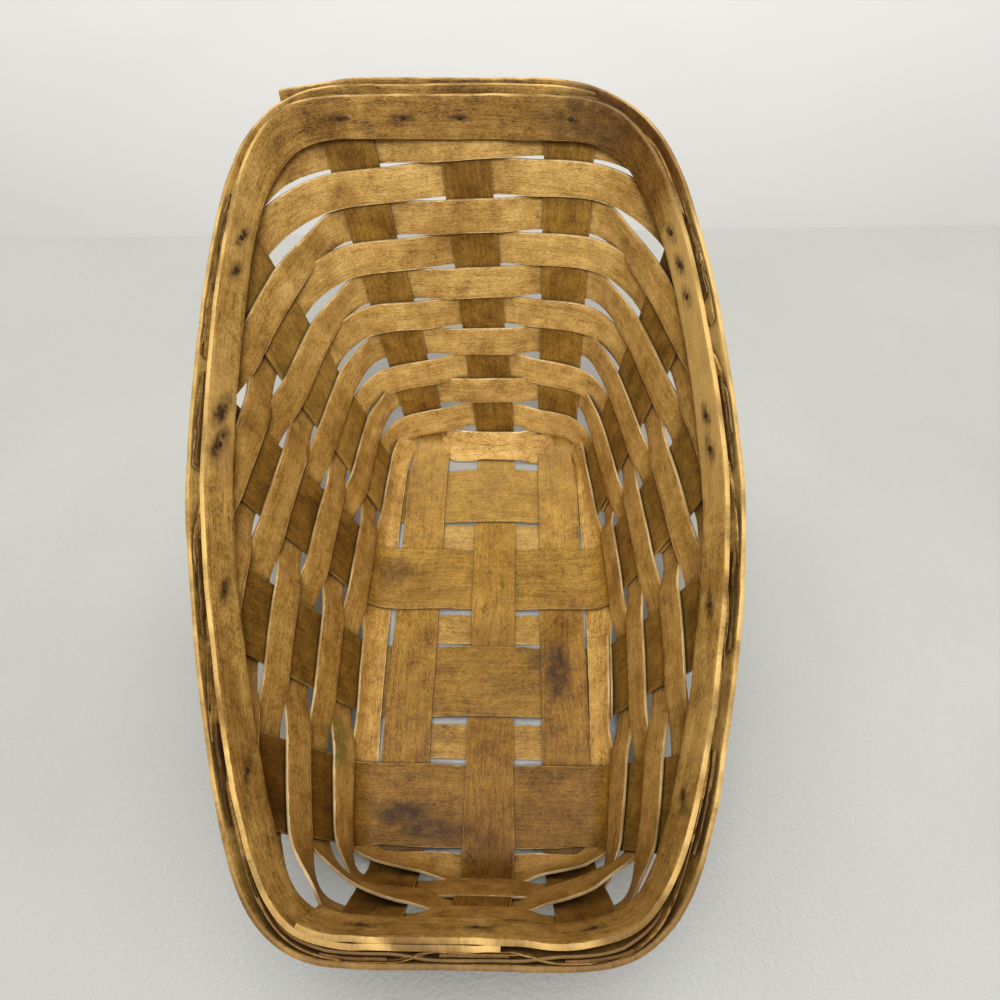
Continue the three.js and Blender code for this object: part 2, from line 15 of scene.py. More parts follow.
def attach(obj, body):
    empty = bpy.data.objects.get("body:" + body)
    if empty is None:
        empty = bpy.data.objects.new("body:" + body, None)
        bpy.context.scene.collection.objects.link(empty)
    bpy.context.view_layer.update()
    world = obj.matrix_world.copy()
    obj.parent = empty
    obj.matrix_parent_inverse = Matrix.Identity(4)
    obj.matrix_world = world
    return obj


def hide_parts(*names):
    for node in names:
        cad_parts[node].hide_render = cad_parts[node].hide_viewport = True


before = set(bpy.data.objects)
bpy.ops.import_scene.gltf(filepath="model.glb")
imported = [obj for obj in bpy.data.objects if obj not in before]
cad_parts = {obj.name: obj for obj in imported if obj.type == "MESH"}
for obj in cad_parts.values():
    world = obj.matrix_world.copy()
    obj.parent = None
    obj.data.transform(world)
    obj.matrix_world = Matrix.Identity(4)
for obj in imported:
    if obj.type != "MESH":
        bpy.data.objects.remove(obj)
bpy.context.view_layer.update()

bl_info = {
    "name": "Woven Splint Basket",
    "version": (1, 0, 0),
    "blender": (4, 5, 0),
    "location": "3D View > Sidebar > Basket",
    "description": "Builds a sleigh basket of wood splints, woven rows and tacked rim bands",
    "category": "Add Mesh",
}

MM = 0.001
TURN = 2 * math.pi
# From the weaving frame to the centred part
SHIFT = Vector((7.0458, -4.1440, 1.8))

# Floor and rim outlines, the same values as in the CAD part
FLOOR_LENGTH, FLOOR_CENTRE_X, FLOOR_CENTRE_Y = 156, -1.9, 2.1
FLOOR_WIDTHS = (68, 71, 69)
FLOOR_SQUARENESS = 18
RIM_LENGTH, RIM_CENTRE_Y, RIM_WIDEST_Y = 218.2, 2.6, 5.4
RIM_CENTRES = (-3.9, -6.8, -13.2)
RIM_WIDTHS = (100.5, 149.4, 123)
RIM_HEIGHTS = (54.4, 85.5, 134.8)
RIM_SQUARENESS = 7
FOOT_RADIUS_SIDE, FOOT_RADIUS_FRONT, FOOT_RADIUS_BACK = 10.3, 8.5, 2

FLOOR_HALF_WIDTH, FLOOR_HALF_LENGTH = FLOOR_WIDTHS[1] / 2, FLOOR_LENGTH / 2
RIM_FRONT, RIM_BACK = RIM_CENTRE_Y - RIM_LENGTH / 2, RIM_CENTRE_Y + RIM_LENGTH / 2
# Step in radians by which directions on the skin are taken
NEARBY = 0.002

# Splint stock
END_WIDTH, SIDE_WIDTH, FILLER_WIDTH, FILLER_LENGTH = 15.9, 25.1, 11.4, 68.6
SPLINT_THICKNESS = 0.8
WEAVER_WIDTH, WEAVER_THICKNESS = 11.5, 0.8
BAND_WIDTH, BAND_THICKNESS = 12.2, 1.5
CLEARANCE = 0.3

# Weaving: the layers that a strip can lie in, counted from the skin
ROW_GAP, FIRST_ROW, PASS_MARGIN, LAP_REACH = 0.54, 0.3, 0.6, 2.2
ROW_PITCH = WEAVER_WIDTH + ROW_GAP
LAYER = SPLINT_THICKNESS / 2 + CLEARANCE + WEAVER_THICKNESS / 2
FLOOR_STEP = (SPLINT_THICKNESS + CLEARANCE) / 2
FILLER_DROP = 2 * FLOOR_STEP + CLEARANCE
SECOND_LAYER = LAYER + WEAVER_THICKNESS + CLEARANCE
PINCH = LAYER / 2
BAND_OFFSET = LAYER + WEAVER_THICKNESS / 2 + CLEARANCE + BAND_THICKNESS / 2
PINCHED_OFFSET = PINCH + SPLINT_THICKNESS / 2 + CLEARANCE + BAND_THICKNESS / 2
BAND_STEP = BAND_THICKNESS + CLEARANCE
ROW_COUNT, FULL_ROWS = 11, 5
# Side splint, counted from the back, and wall at which each all-round row laps over itself
ROW_JOINS = ((3, "right"), (1, "right"), (2, "left"), (3, "left"), (2, "right"))
# Splints and rows end this far below the rim, and a row narrower than this has ended
SPLINT_DROP, ROW_DROP, ROW_END_DROP, ROW_END_WIDTH = 0.4, 0.6, 1.2, 2.0

# Rim bands: where each starts and ends, and where it climbs over its own other end
INNER_START, INNER_END = math.radians(231), math.radians(280 + 360)
INNER_RAMP = (math.radians(283), math.radians(300))
OUTER_START, OUTER_END = math.radians(54.5), math.radians(121 + 360)
OUTER_RAMP = (OUTER_START + TURN - math.radians(22), OUTER_START + TURN - math.radians(4))
# How far the outer band's end runs on past the back left corner, with its slanted cut, and how
# far the band rises across the back
BAND_TAIL, TAIL_SLANT, BACK_RISE = 16, 1.6, 1.4
# Middle, reach and height of the place where the inner band stands off at the front right
INNER_SPRING = math.radians(306), math.radians(18), 1.6

# Tacks: how far below the rim, how far apart, and over how many radians each holds the bands
TACK_DROP, TACK_SPACING, TACK_HOLD = BAND_WIDTH / 2, 9, 0.07
# A head's height and width are shares of its length, and it sinks a little into the wood
TACK_HEAD_HEIGHT, TACK_HEAD_OVAL, TACK_HEAD_SINK = 0.3, 0.9, 0.12
TACK_SHANK_RADIUS, TACK_POINT_INSET = 0.4, 0.4

# How far past a corner's free run a row is softened, and how often
CORNER_EASE, EASE_TIMES = 3, 6
# Over how many rings a splint on the floor takes up the curve of the wall's foot
FOOT_RINGS = 6
# The first row's lower edge runs along this line across the back of the floor
FIRST_ROW_LINE, FIRST_ROW_SKEW, FIRST_ROW_REACH = 74.4, -0.03, 26


class CornerShape(NamedTuple):
    """A row's free run round a corner, read off the photograph.

    Fullness is how far it swings out into the corner. Upright is how far it turns from the slope
    of the wall to the plumb line, past it where it is over 1. It turns about the line at the share
    of its width called pivot.
    """

    fullness: float
    upright: float
    pivot: float


# By corner, for the rows that pass outside and inside the lengthwise splint next to it
CORNERS = {
    "back left corner": (CornerShape(0.65, 0.85, 0.0), CornerShape(0.6, 0.3, 0.0)),
    "back right corner": (CornerShape(0.75, 0.85, 0.0), CornerShape(0.6, 0.3, 0.0)),
    "front left corner": (CornerShape(0.5, 1.3, 0.5), CornerShape(0.3, 0.8, 0.5)),
    "front right corner": (CornerShape(0.5, 1.2, 0.5), CornerShape(0.3, 0.6, 0.5)),
}
# The first row keeps nearly to the wall round both back corners
FIRST_ROW_BACK = CornerShape(0.6, 0.1, 0.0)


class Drift(NamedTuple):
    """A row's stray from its even place: how far each edge sinks, and how far it stands off.

    It holds for the flat distance on both sides of the place and is gone at before and after,
    which count from the place against and along the row's way.
    """

    place: str
    flat: float
    before: float
    after: float
    low_sink: float = 0.0
    top_sink: float = 0.0
    low_stand: float = 0.0
    top_stand: float = 0.0


# What the photograph shows row by row, in millimetres
DRIFTS = {
    0: (Drift("back center", 17, 24, 24, 6.5, 1.4, 0.0, 0.0),
        Drift("front left corner", 0, 2, 26, -0.9, -0.4, 0.0, 3.2),
        Drift("front right corner", 0, 26, 2, -0.9, -0.4, 0.0, 3.2)),
    1: (Drift("back left corner", 0, 38, 24, 4.5, 4.0),
        Drift("back right corner", 0, 24, 38, 5.6, 5.2),
        Drift("front center", 9, 20, 20, -1.5, -3.0, -0.6, -0.9)),
    2: (Drift("back center", 10, 26, 26, -1.5, -1.5),
        Drift("front left corner", 0, 2, 32, 0.0, 0.0, 0.5, 5.0),
        Drift("front right corner", 0, 32, 2, 3.0, 3.0, 4.0, 4.0)),
    3: (Drift("back left corner", 0, 44, 26, 3.8, 3.8),
        Drift("back right corner", 0, 26, 44, 5.0, 5.0)),
    5: (Drift("back right corner", 0, 26, 44, 1.6, 1.6),),
    6: (Drift("left 1", 6, 34, 34, 2.2, 2.2),),
    7: (Drift("left 2", 10, 40, 40, 3.2, 3.2),),
    8: (Drift("left 1", 20, 44, 44, 3.0, 3.0), Drift("right 1", 20, 44, 44, 3.2, 3.2)),
    9: (Drift("back left corner", 4, 18, 18, 3.5, 3.5),),
}

# Old stains: centre, radii and strength, which is below nought for green mould
FLOOR_STAINS = (
    (Vector((23.4, -17.5, 0.5)), (6.2, 15.0, 12), 0.95),
    (Vector((16.0, -14.0, 0.5)), (5.5, 5.5, 12), 0.65),
    (Vector((10.5, -7.5, 0.5)), (3.0, 6.5, 12), 0.4),
    (Vector((7.0, -24.0, 0.5)), (9.0, 7.0, 12), 0.25),
    (Vector((-27.0, -65.0, 0.5)), (12.0, 4.6, 12), 0.95),
    (Vector((-19.5, -69.5, 0.5)), (10.0, 4.6, 12), 0.8),
    (Vector((12.0, -80.0, 0.5)), (9.0, 4.0, 12), 0.35),
    (Vector((-37.9, 22.1, 0.5)), (11.0, 8.0, 12), 0.5),
    (Vector((-36.0, 52.0, 8.0)), (8.0, 9.0, 14), 0.5),
)
# A darker patch across the back right of the bands, laid on like the stains
BAND_DARK_PATCHES = ((Vector((36.0, 108.0, 129.0)), (28.0, 14.0, 16.0), 0.62),)
ROW_STAINS = (
    (Vector((-47.5, -47.0, 16.0)), (6, 12, 9), -0.6),
    (Vector((-38.0, 54.0, 10.0)), (7.0, 9.0, 12), 0.5),
    (Vector((-62.0, 60.0, 36.0)), (8.0, 9.0, 14), 0.55),
)


class EndSplint(NamedTuple):
    """A lengthwise splint: its place along X and its sideways lean on the back and front wall."""

    name: str
    place: float
    lean_back: float
    lean_front: float
    back_inside: bool


class SideSplint(NamedTuple):
    """A crosswise splint: its place along Y, its lean on each wall and the tacks at its ends."""

    place: float
    lean_left: float
    lean_right: float
    tacks_left: int
    tacks_right: int


END_SPLINTS = [
    EndSplint("left", FLOOR_CENTRE_X - 0.738 * FLOOR_HALF_WIDTH, -0.142, -0.014, False),
    EndSplint("center", FLOOR_CENTRE_X + 0.054 * FLOOR_HALF_WIDTH, -0.076, -0.023, True),
    EndSplint("right", FLOOR_CENTRE_X + 0.766 * FLOOR_HALF_WIDTH, -0.012, 0.044, False),
]
SIDE_SPLINTS = [
    SideSplint(FLOOR_CENTRE_Y + 0.699 * FLOOR_HALF_LENGTH, 0.13, 0.11, 2, 3),
    SideSplint(FLOOR_CENTRE_Y + 0.212 * FLOOR_HALF_LENGTH, 0.035, 0.035, 2, 2),
    SideSplint(FLOOR_CENTRE_Y - 0.301 * FLOOR_HALF_LENGTH, -0.02, -0.05, 1, 1),
    SideSplint(FLOOR_CENTRE_Y - 0.829 * FLOOR_HALF_LENGTH, -0.085, -0.17, 1, 1),
]


# Shape of the basket

def clamp(value, low=0.0, high=1.0):
    return min(max(value, low), high)


def smooth(t):
    c = clamp(t)
    return c * c * (3 - 2 * c)


def lerp(a, b, t):
    return a + (b - a) * t


def taper(y, front, back, widest, widths):
    """Half width of an outline that narrows from its widest place to both ends."""
    to_front = clamp((widest - y) / (widest - front))
    to_back = clamp((y - widest) / (back - widest))
    at_front, at_middle, at_back = (w / 2 for w in widths)
    return at_middle - (at_middle - at_front) * to_front**1.4 - (at_middle - at_back) * to_back**2.2


def squircle(angle, squareness):
    c, s = math.cos(angle), math.sin(angle)
    reach = (abs(c) ** squareness + abs(s) ** squareness) ** (-1 / squareness)
    return c * reach, s * reach


def floor_outline(angle):
    u, v = squircle(angle, FLOOR_SQUARENESS)
    y = FLOOR_CENTRE_Y + FLOOR_HALF_LENGTH * v
    ends = FLOOR_CENTRE_Y - FLOOR_HALF_LENGTH, FLOOR_CENTRE_Y + FLOOR_HALF_LENGTH
    return FLOOR_CENTRE_X + taper(y, *ends, 0, FLOOR_WIDTHS) * u, y


def along_rim(y, values):
    """Parabola through the values at the front, the widest place and the back of the rim."""
    front, middle, back = RIM_FRONT, RIM_WIDEST_Y, RIM_BACK
    from_front = values[0] * (y - middle) * (y - back) / ((front - middle) * (front - back))
    from_middle = values[1] * (y - front) * (y - back) / ((middle - front) * (middle - back))
    from_back = values[2] * (y - front) * (y - middle) / ((back - front) * (back - middle))
    return from_front + from_middle + from_back


def rim_outline(angle):
    u, v = squircle(angle, RIM_SQUARENESS)
    y = RIM_CENTRE_Y + RIM_LENGTH / 2 * v
    half = taper(y, RIM_FRONT, RIM_BACK, RIM_WIDEST_Y, RIM_WIDTHS)
    return along_rim(y, RIM_CENTRES) + half * u, y


class Profile(NamedTuple):
    """Wall at one angle: its foot, its way out, its bend, its slope and its length to the rim."""

    foot_x: float
    foot_y: float
    out_x: float
    out_y: float
    radius: float
    slope: float
    top: float

    def point(self, up):
        bent = self.radius * self.slope
        bend = clamp(up, 0, bent) / self.radius
        rest = max(up - bent, 0)
        out = min(up, 0) + self.radius * math.sin(bend) + rest * math.cos(self.slope)
        z = self.radius * (1 - math.cos(bend)) + rest * math.sin(self.slope)
        return Vector((self.foot_x + self.out_x * out, self.foot_y + self.out_y * out, z))


def profile_at(angle):
    foot_x, foot_y = floor_outline(angle)
    rim_x, rim_y = rim_outline(angle)
    run = math.hypot(rim_x - foot_x, rim_y - foot_y)
    out_x, out_y = (rim_x - foot_x) / run, (rim_y - foot_y) / run
    height = along_rim(rim_y, RIM_HEIGHTS)
    end_radius = FOOT_RADIUS_FRONT if out_y < 0 else FOOT_RADIUS_BACK
    radius = FOOT_RADIUS_SIDE * out_x * out_x + end_radius * out_y * out_y
    straight = math.sqrt(run * run + (height - radius) ** 2 - radius * radius)
    slope = math.atan2(height - radius, run) + math.atan2(radius, straight)
    return Profile(foot_x, foot_y, out_x, out_y, radius, slope, radius * slope + straight)


class Station:
    """The wall at one angle with its neighbours, which give the direction square to the skin."""

    def __init__(self, angle):
        self.here = profile_at(angle)
        self.before = profile_at(angle - NEARBY)
        self.after = profile_at(angle + NEARBY)
        self.top = self.here.top

    def normal(self, up):
        along = self.after.point(up) - self.before.point(up)
        rise = self.here.point(up + 0.2) - self.here.point(up - 0.2)
        return rise.cross(along).normalized()

    def place(self, up, offset=0.0):
        return self.here.point(up) + self.normal(up) * offset


def rim_top(angle):
    return profile_at(angle).top


def front_share(angle):
    """1 across the front, where the bands lie closer together over a pinched row, else 0."""
    return smooth((-math.sin(angle) - 0.65) / 0.13)


def band_offset(angle):
    return lerp(BAND_OFFSET, PINCHED_OFFSET, front_share(angle))


class Walk:
    """Length of the skin at one height, from the right side round to an angle on any turn."""

    steps = 1440

    def __init__(self, up):
        points = [profile_at(TURN * i / self.steps).point(up) for i in range(self.steps + 1)]
        self.table = [0.0]
        for a, b in zip(points, points[1:]):
            self.table.append(self.table[-1] + (b - a).length)
        self.round = self.table[-1]

    def angle(self, distance):
        turns = math.floor(distance / self.round)
        rest = distance - turns * self.round
        low = min(bisect_right(self.table, rest) - 1, self.steps - 1)
        part = (rest - self.table[low]) / (self.table[low + 1] - self.table[low])
        return TURN * (turns + (low + part) / self.steps)

    def distance(self, angle):
        turns = math.floor(angle / TURN)
        place = (angle / TURN - turns) * self.steps
        low = min(int(place), self.steps - 1)
        return turns * self.round + lerp(self.table[low], self.table[low + 1], place - low)


class Upright(NamedTuple):
    """A splint where it stands in one wall, with its place and its lean along X or Y."""

    splint: str
    wall: str
    axis: int
    lean: float
    inside: bool
    tacks: int
    place: float
    width: float

    @property
    def start(self):
        return math.radians({"right": 0, "back": 90, "left": 180, "front": 270}[self.wall])

    @property
    def sign(self):
        return 1 if self.wall in ("front", "right") else -1


def uprights():
    found = []
    for i, s in enumerate(SIDE_SPLINTS):
        name, inside = f"side_splint_{i + 1}", i % 2 == 0
        walls = ("left", s.lean_left, s.tacks_left), ("right", s.lean_right, s.tacks_right)
        for wall, lean, tacks in walls:
            found.append(Upright(name, wall, 1, lean, inside, tacks, s.place, SIDE_WIDTH))
    for s in END_SPLINTS:
        name = f"end_splint_{s.name}"
        walls = ("front", s.lean_front, not s.back_inside), ("back", s.lean_back, s.back_inside)
        for wall, lean, inside in walls:
            found.append(Upright(name, wall, 0, lean, inside, 1, s.place, END_WIDTH))
    return found


UPRIGHTS = uprights()


def upright_of(splint, wall):
    return next(u for u in UPRIGHTS if u.splint == splint and u.wall == wall)


def upright_angle(upright, up):
    """Where an upright's middle crosses the wall at one height."""
    angle = upright.start
    for _ in range(60):
        here = profile_at(angle).point(up)
        miss = here[upright.axis] - upright.place - upright.lean * here.z
        if abs(miss) < 1e-5:
            break
        beyond = profile_at(angle + NEARBY / 2).point(up)
        rate = (beyond[upright.axis] - here[upright.axis]) / (NEARBY / 2)
        angle -= clamp(miss / rate, -0.1, 0.1)
    return angle


def skin_speed(angle, up):
    """Length walked on the skin per radian."""
    behind, beyond = profile_at(angle - NEARBY).point(up), profile_at(angle + NEARBY).point(up)
    return (beyond - behind).length / (2 * NEARBY)


def beside(angle, up, side):
    """Angle that lies a walked distance to the side of another angle."""
    steps = max(1, math.ceil(abs(side) / 1.5))
    for _ in range(steps):
        halfway = angle + side / steps * 0.5 / skin_speed(angle, up)
        angle += side / steps / skin_speed(halfway, up)
    return angle


# Strips

def wander(seed, along, length, size):
    """Slow irregular drift of a hand-cut strip, the same each run."""
    return size * noise.noise(Vector((along / length, seed * 7.31, 0.5)))


class Strip:
    """A strip of wood as rows of points across it, with the distance along it of each row."""

    def __init__(self, name, seed):
        self.name = name
        self.seed = seed
        self.rings = []
        self.along = []
        self.across = []

    def add(self, along, points, across):
        self.rings.append(points)
        self.along.append(along)
        self.across.append(across)

    def measure(self):
        """Takes the distances along the strip from its middle line."""
        middle = len(self.rings[0]) // 2
        self.along = [0.0]
        for a, b in zip(self.rings, self.rings[1:]):
            self.along.append(self.along[-1] + (b[middle] - a[middle]).length)

    def ease(self, chosen):
        """Softens the chosen rings, so that the strip has no kink there."""
        old = self.rings
        self.rings = [
            [(a + b * 2 + c) / 4 for a, b, c in zip(old[i - 1], old[i], old[i + 1])]
            if i in chosen and 0 < i < len(old) - 1 else ring for i, ring in enumerate(old)]


def deselect():
    bpy.ops.object.select_all(action="DESELECT")


def strip_mesh(strip, thickness, rounding):
    """A flat grid is laid over the strip's points, thickened and given rounded edges.

    The thickness and the rounding are metres, as a user sets them.
    """
    deselect()
    columns, rows = len(strip.rings) - 1, len(strip.rings[0]) - 1
    bpy.ops.mesh.primitive_grid_add(x_subdivisions=columns, y_subdivisions=rows, size=1)
    obj = bpy.context.object
    obj.name = obj.data.name = strip.name
    mesh = obj.data
    cells = {}
    for vertex in mesh.vertices:
        i = round((vertex.co.x + 0.5) * columns)
        j = round((vertex.co.y + 0.5) * rows)
        cells[vertex.index] = i, j
        vertex.co = (strip.rings[i][j] + SHIFT) * MM
    mesh.uv_layers[0].name = "strip"
    layer = mesh.uv_layers[0].data
    for loop in mesh.loops:
        i, j = cells[loop.vertex_index]
        layer[loop.index].uv = (strip.along[i] * MM + strip.seed, strip.across[i][j] * MM)
    mesh.update()
    finish = obj.modifiers.new("thickness", "SOLIDIFY")
    finish.thickness = thickness
    finish.offset = 0
    finish.use_even_offset = False
    edge = obj.modifiers.new("rounded edges", "BEVEL")
    edge.width = rounding
    edge.segments = 2
    edge.limit_method = "ANGLE"
    edge.angle_limit = math.radians(50)
    for name in ("thickness", "rounded edges"):
        bpy.ops.object.modifier_apply(modifier=name)
    point_outwards(obj)
    bpy.ops.object.shade_smooth_by_angle(angle=math.radians(40))
    return obj


def point_outwards(obj):
    """Turns the faces of a closed piece outwards."""
    bpy.ops.object.mode_set(mode="EDIT")
    bpy.ops.mesh.select_all(action="SELECT")
    bpy.ops.mesh.normals_make_consistent(inside=False)
    bpy.ops.object.mode_set(mode="OBJECT")


def paint(obj, tone, spots=(), wear=1.0, painted_shade=0.0):
    """Writes on the points the strip's tone, how much of a dark spot and of painted shade lies
    there, and how far its edges are rubbed.

    Tone, the rubbing and the painted shade are numbers or functions of the place in the weaving
    frame.
    """
    def level(value, place):
        return value(place) if callable(value) else value

    mesh = obj.data
    values = {"tone": [], "stain": [], "wear": []}
    for vertex in mesh.vertices:
        place = vertex.co / MM - SHIFT
        # Painted shade in the slot between the bands, unless a stronger spot lies there
        stain = level(painted_shade, place)
        for centre, reach, strength in spots:
            gap = Vector([(place[k] - centre[k]) / reach[k] for k in range(3)]).length
            if gap < 1:
                share = strength * (1 - smooth((gap - 0.4) / 0.6))
                stain = share if abs(share) > abs(stain) else stain
        values["tone"].append(level(tone, place))
        values["stain"].append(stain)
        values["wear"].append(level(wear, place))
    for name, column in values.items():
        mesh.attributes.new(name, "FLOAT", "POINT").data.foreach_set("value", column)


def below_rim(place):
    """How far a place lies below the top of the wall."""
    return along_rim(place.y, RIM_HEIGHTS) - place.z


def slot_shade(place):
    """The tops that stand in the slot between the two bands are painted darker, as shade."""
    return 0.5 * smooth((3.2 - below_rim(place)) / 2)


def splint_tone_and_shade(place):
    """Splints are rubbed pale near the back of the floor and darker towards its front, partly dirt
    and partly painted shade; they are dark on the walls, most on the left, and painted darker up
    the front wall, as shade.
    """
    up_the_wall = smooth((place.z - 1) / 9)
    back = smooth((place.y - 55) / 30) * smooth((50 - abs(place.x + 6)) / 8) * up_the_wall
    side = smooth((abs(place.x) - 30) / 12) * up_the_wall
    left = side * smooth(-place.x / 20) * lerp(1, -0.1, smooth((place.y - 20) / 35))
    floor = lerp(-0.65, 0.25, smooth((place.y + 85) / 175)) * (1 - up_the_wall)
    front = smooth((-place.y - 70) / 20) * up_the_wall
    centre = 1 - 0.45 * smooth((place.x - 6) / 12) - 0.3 * smooth((-place.x - 8) / 10)
    walls = 0.35 * side * smooth(place.x / 20) + left * lerp(0.65, 0.9, smooth(-place.y / 20 - 2))
    return floor - 0.48 * back * centre - walls * (1 - back) * (1 - front) - 0.7 * front


def filler_tone_and_shade(place):
    """The fillers are a little paler than the splints beside them, with the same dirt and painted
    shade.
    """
    return 0.15 + splint_tone_and_shade(place)


def weaver_painted_shade(place):
    """The rows' light and shade are painted on: pale across the back, darker down the sides, most
    on the left, and darkest in front.
    """
    front = smooth((-place.y - 60) / 30)
    back = smooth((place.y - 50) / 30)
    side = (1 - front) * (1 - back)
    left = smooth(-place.x / 20)
    return -0.6 * front + 0.05 * back - side * lerp(0.22, 0.38, left)


def band_tone_and_shade(place):
    """The bands are dark across the back and pale along the right side, and painted darker in
    front, as shade.
    """
    back = smooth((place.y - lerp(84, 72, smooth(place.x / 30))) / 16)
    back_right = back * smooth((place.x - 22) / 12)
    right = smooth((place.x - 20) / 30) * (1 - back) * smooth((place.y + 20) / 60)
    # Painted shade across the front
    front = smooth((-place.y - 70) / 25)
    streak = wander(5, place.y + place.x, 17, 0.4)
    left = smooth(-place.x / 30) * smooth((30 - place.y) / 60) * (1 - front)
    knots = smooth(-place.x / 30) * smooth(1 - abs(place.y - 22) / 40)
    return (1.05 * right - 0.4 * back - 0.6 * back_right - 0.35 * front - 0.25 * left
            + 0.6 * knots + streak)


def strip_wear(place):
    """Edges of the splints and rows are rubbed in patches, but not where the bands hold them, where
    their cut edges take the most painted shade.
    """
    held = smooth((11 - below_rim(place)) / 4)
    patches = 0.8 + wander(7, place.x + place.y + place.z, 9, 0.9)
    return patches * (1 - held) - 0.1 * held


def inner_wear_and_shade(place):
    """The inner band's edge is rubbed pale in patches, least in front, where it is painted darker,
    as shade.
    """
    front = smooth((-place.y - 70) / 24)
    return lerp(0.8, 0.25, front) + wander(8, place.x + place.y, 8, 1.0)


def outer_wear_and_shade(place):
    """The outer band has kept its pale edges at the sides, and in front its edge is painted darker,
    as shade.
    """
    front = smooth((-place.y - 70) / 24)
    return lerp(0.75, 0.05, front) + wander(9, place.x + place.y, 7, 0.7)


def tack_halo(tack):
    """Rust and dirt have crept along the grain from each tack."""
    in_end_wall = abs(tack.inward.y) > abs(tack.inward.x)
    beside_left_knot = tack.place.x < 0 and 5 < tack.place.y < 40
    if beside_left_knot:
        radii = (4.0, 9.0, 3.6)
    else:
        radii = (4.6, 2.5, 1.7) if in_end_wall else (2.5, 6.0, 2.2)
    return tack.place + tack.inward * tack.seat, radii, 0.95


def hand_over(obj, material, slot, *nodes):
    """Gives a finished piece its wood, its body and the CAD nodes that it stands for; the slot is
    not used.
    """
    obj.data.materials.clear()
    obj.data.materials.append(material)
    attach(obj, "root")
    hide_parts(*nodes)
    return obj


# Splints

def crossing_height(place, crossings, half):
    """Height of a strip on the floor: flat over each crossing, with a ramp to the next."""
    heights = [FLOOR_STEP if over else -FLOOR_STEP for _, over in crossings]
    z = heights[0]
    for i in range(len(crossings) - 1):
        start = crossings[i][0] + half + CLEARANCE
        end = crossings[i + 1][0] - half - CLEARANCE
        if place > start:
            z = lerp(heights[i], heights[i + 1], smooth((place - start) / (end - start)))
    return z


def row_side(upright, index):
    """1 where a row passes inside an upright, -1 where it passes outside."""
    return 1 if upright.inside == (index % 2 == 0) else -1


def wall_offset(upright, up, settled, hold, swing=0.22):
    """How far an upright stands off the skin: from the floor's layer to a gentle wave."""
    wave = 0.0
    for index in range(ROW_COUNT):
        middle = FIRST_ROW + index * ROW_PITCH + WEAVER_WIDTH / 2
        reach = abs(up - middle) / ROW_PITCH
        if reach < 1:
            wave -= row_side(upright, index) * swing * (1 - smooth(reach))
    offset = hold * (1 - smooth(up / settled)) + wave * smooth(up / settled)
    if upright.wall == "front":
        pinch_start = FIRST_ROW + (FULL_ROWS - 1) * ROW_PITCH - ROW_GAP
        pinched = -PINCH if row_side(upright, FULL_ROWS - 1) == 1 else PINCH
        offset = lerp(offset, pinched, smooth((up - pinch_start) / 2.0))
    return offset


def splint_strip(name, seed, first, second, crossings, half, columns=10, step=2.2):
    """A splint down one wall, across the floor and up the other."""
    strip = Strip(name, seed)
    axis, width = first.axis, first.width
    shares = [2 * j / columns - 1 for j in range(columns + 1)]
    edge = [share * width / 2 for share in shares]

    def edges(along):
        """The two long edges wander a little, as split wood does."""
        low = wander(seed, along, 21, 0.3) + wander(seed + 3, along, 5, 0.12)
        high = wander(seed + 9, along, 21, 0.3) + wander(seed + 5, along, 5, 0.12)
        return [d + (low if share < 0 else high) * abs(share) ** 3
                for d, share in zip(edge, shares)]

    def wall_rings(upright, over):
        """Rows of points up one wall, whose last one follows the rim's slope."""
        hold = FLOOR_STEP if over else -FLOOR_STEP
        foot = profile_at(upright_angle(upright, 0))
        settled = foot.radius * foot.slope + 4
        tops = []
        for d in edge:
            up = rim_top(upright.start) - SPLINT_DROP
            for _ in range(5):
                angle = beside(upright_angle(upright, up), up, d * upright.sign)
                up = rim_top(angle) - SPLINT_DROP
            tops.append(up + wander(seed, d, 3, 0.5))
        count = math.ceil(max(tops) / step)
        floor_end = profile_at(upright_angle(upright, 0)).point(0)[1 - axis]
        outwards = 1 if upright is second else -1
        rings = []
        for i in range(count + 1):
            level = max(tops) * i / count
            middle = upright_angle(upright, min(level, min(tops)))
            along = floor_end + outwards * level
            points = []
            for j, d in enumerate(edges(along)):
                up = tops[j] if i == count else min(level, tops[j])
                station = Station(beside(middle, up, d * upright.sign))
                bow = wander(seed, along + d, 16, 0.14)
                points.append(station.place(up, wall_offset(upright, up, settled, hold) + bow))
            rings.append(points)
        return rings

    down = wall_rings(first, crossings[0][1])[::-1]
    up_again = wall_rings(second, crossings[-1][1])

    def middle_of(ring):
        return ring[columns // 2][1 - axis]

    start, end = middle_of(down[-1]), middle_of(up_again[0])
    count = math.ceil((end - start) / step)
    floor_rings = []
    for i in range(1, count):
        at = lerp(start, end, i / count)
        points = []
        for j, d in enumerate(edges(at)):
            z = crossing_height(at, crossings, half) + wander(seed, at + d, 16, 0.14)
            point = Vector((first.place + d, at, z) if axis == 0 else (at, first.place + d, z))
            for foot, rings in ((down[-1], i), (up_again[0], count - i)):
                curve = [foot[j][axis] - first.place - edge[j], foot[j][1 - axis] - middle_of(foot)]
                bend = Vector((*(curve if axis == 0 else curve[::-1]), 0))
                point += bend * (1 - smooth(rings / FOOT_RINGS))
            points.append(point)
        floor_rings.append(points)
    for ring in [*down, *floor_rings, *up_again]:
        strip.add(0, ring, edge)
    strip.measure()
    return strip


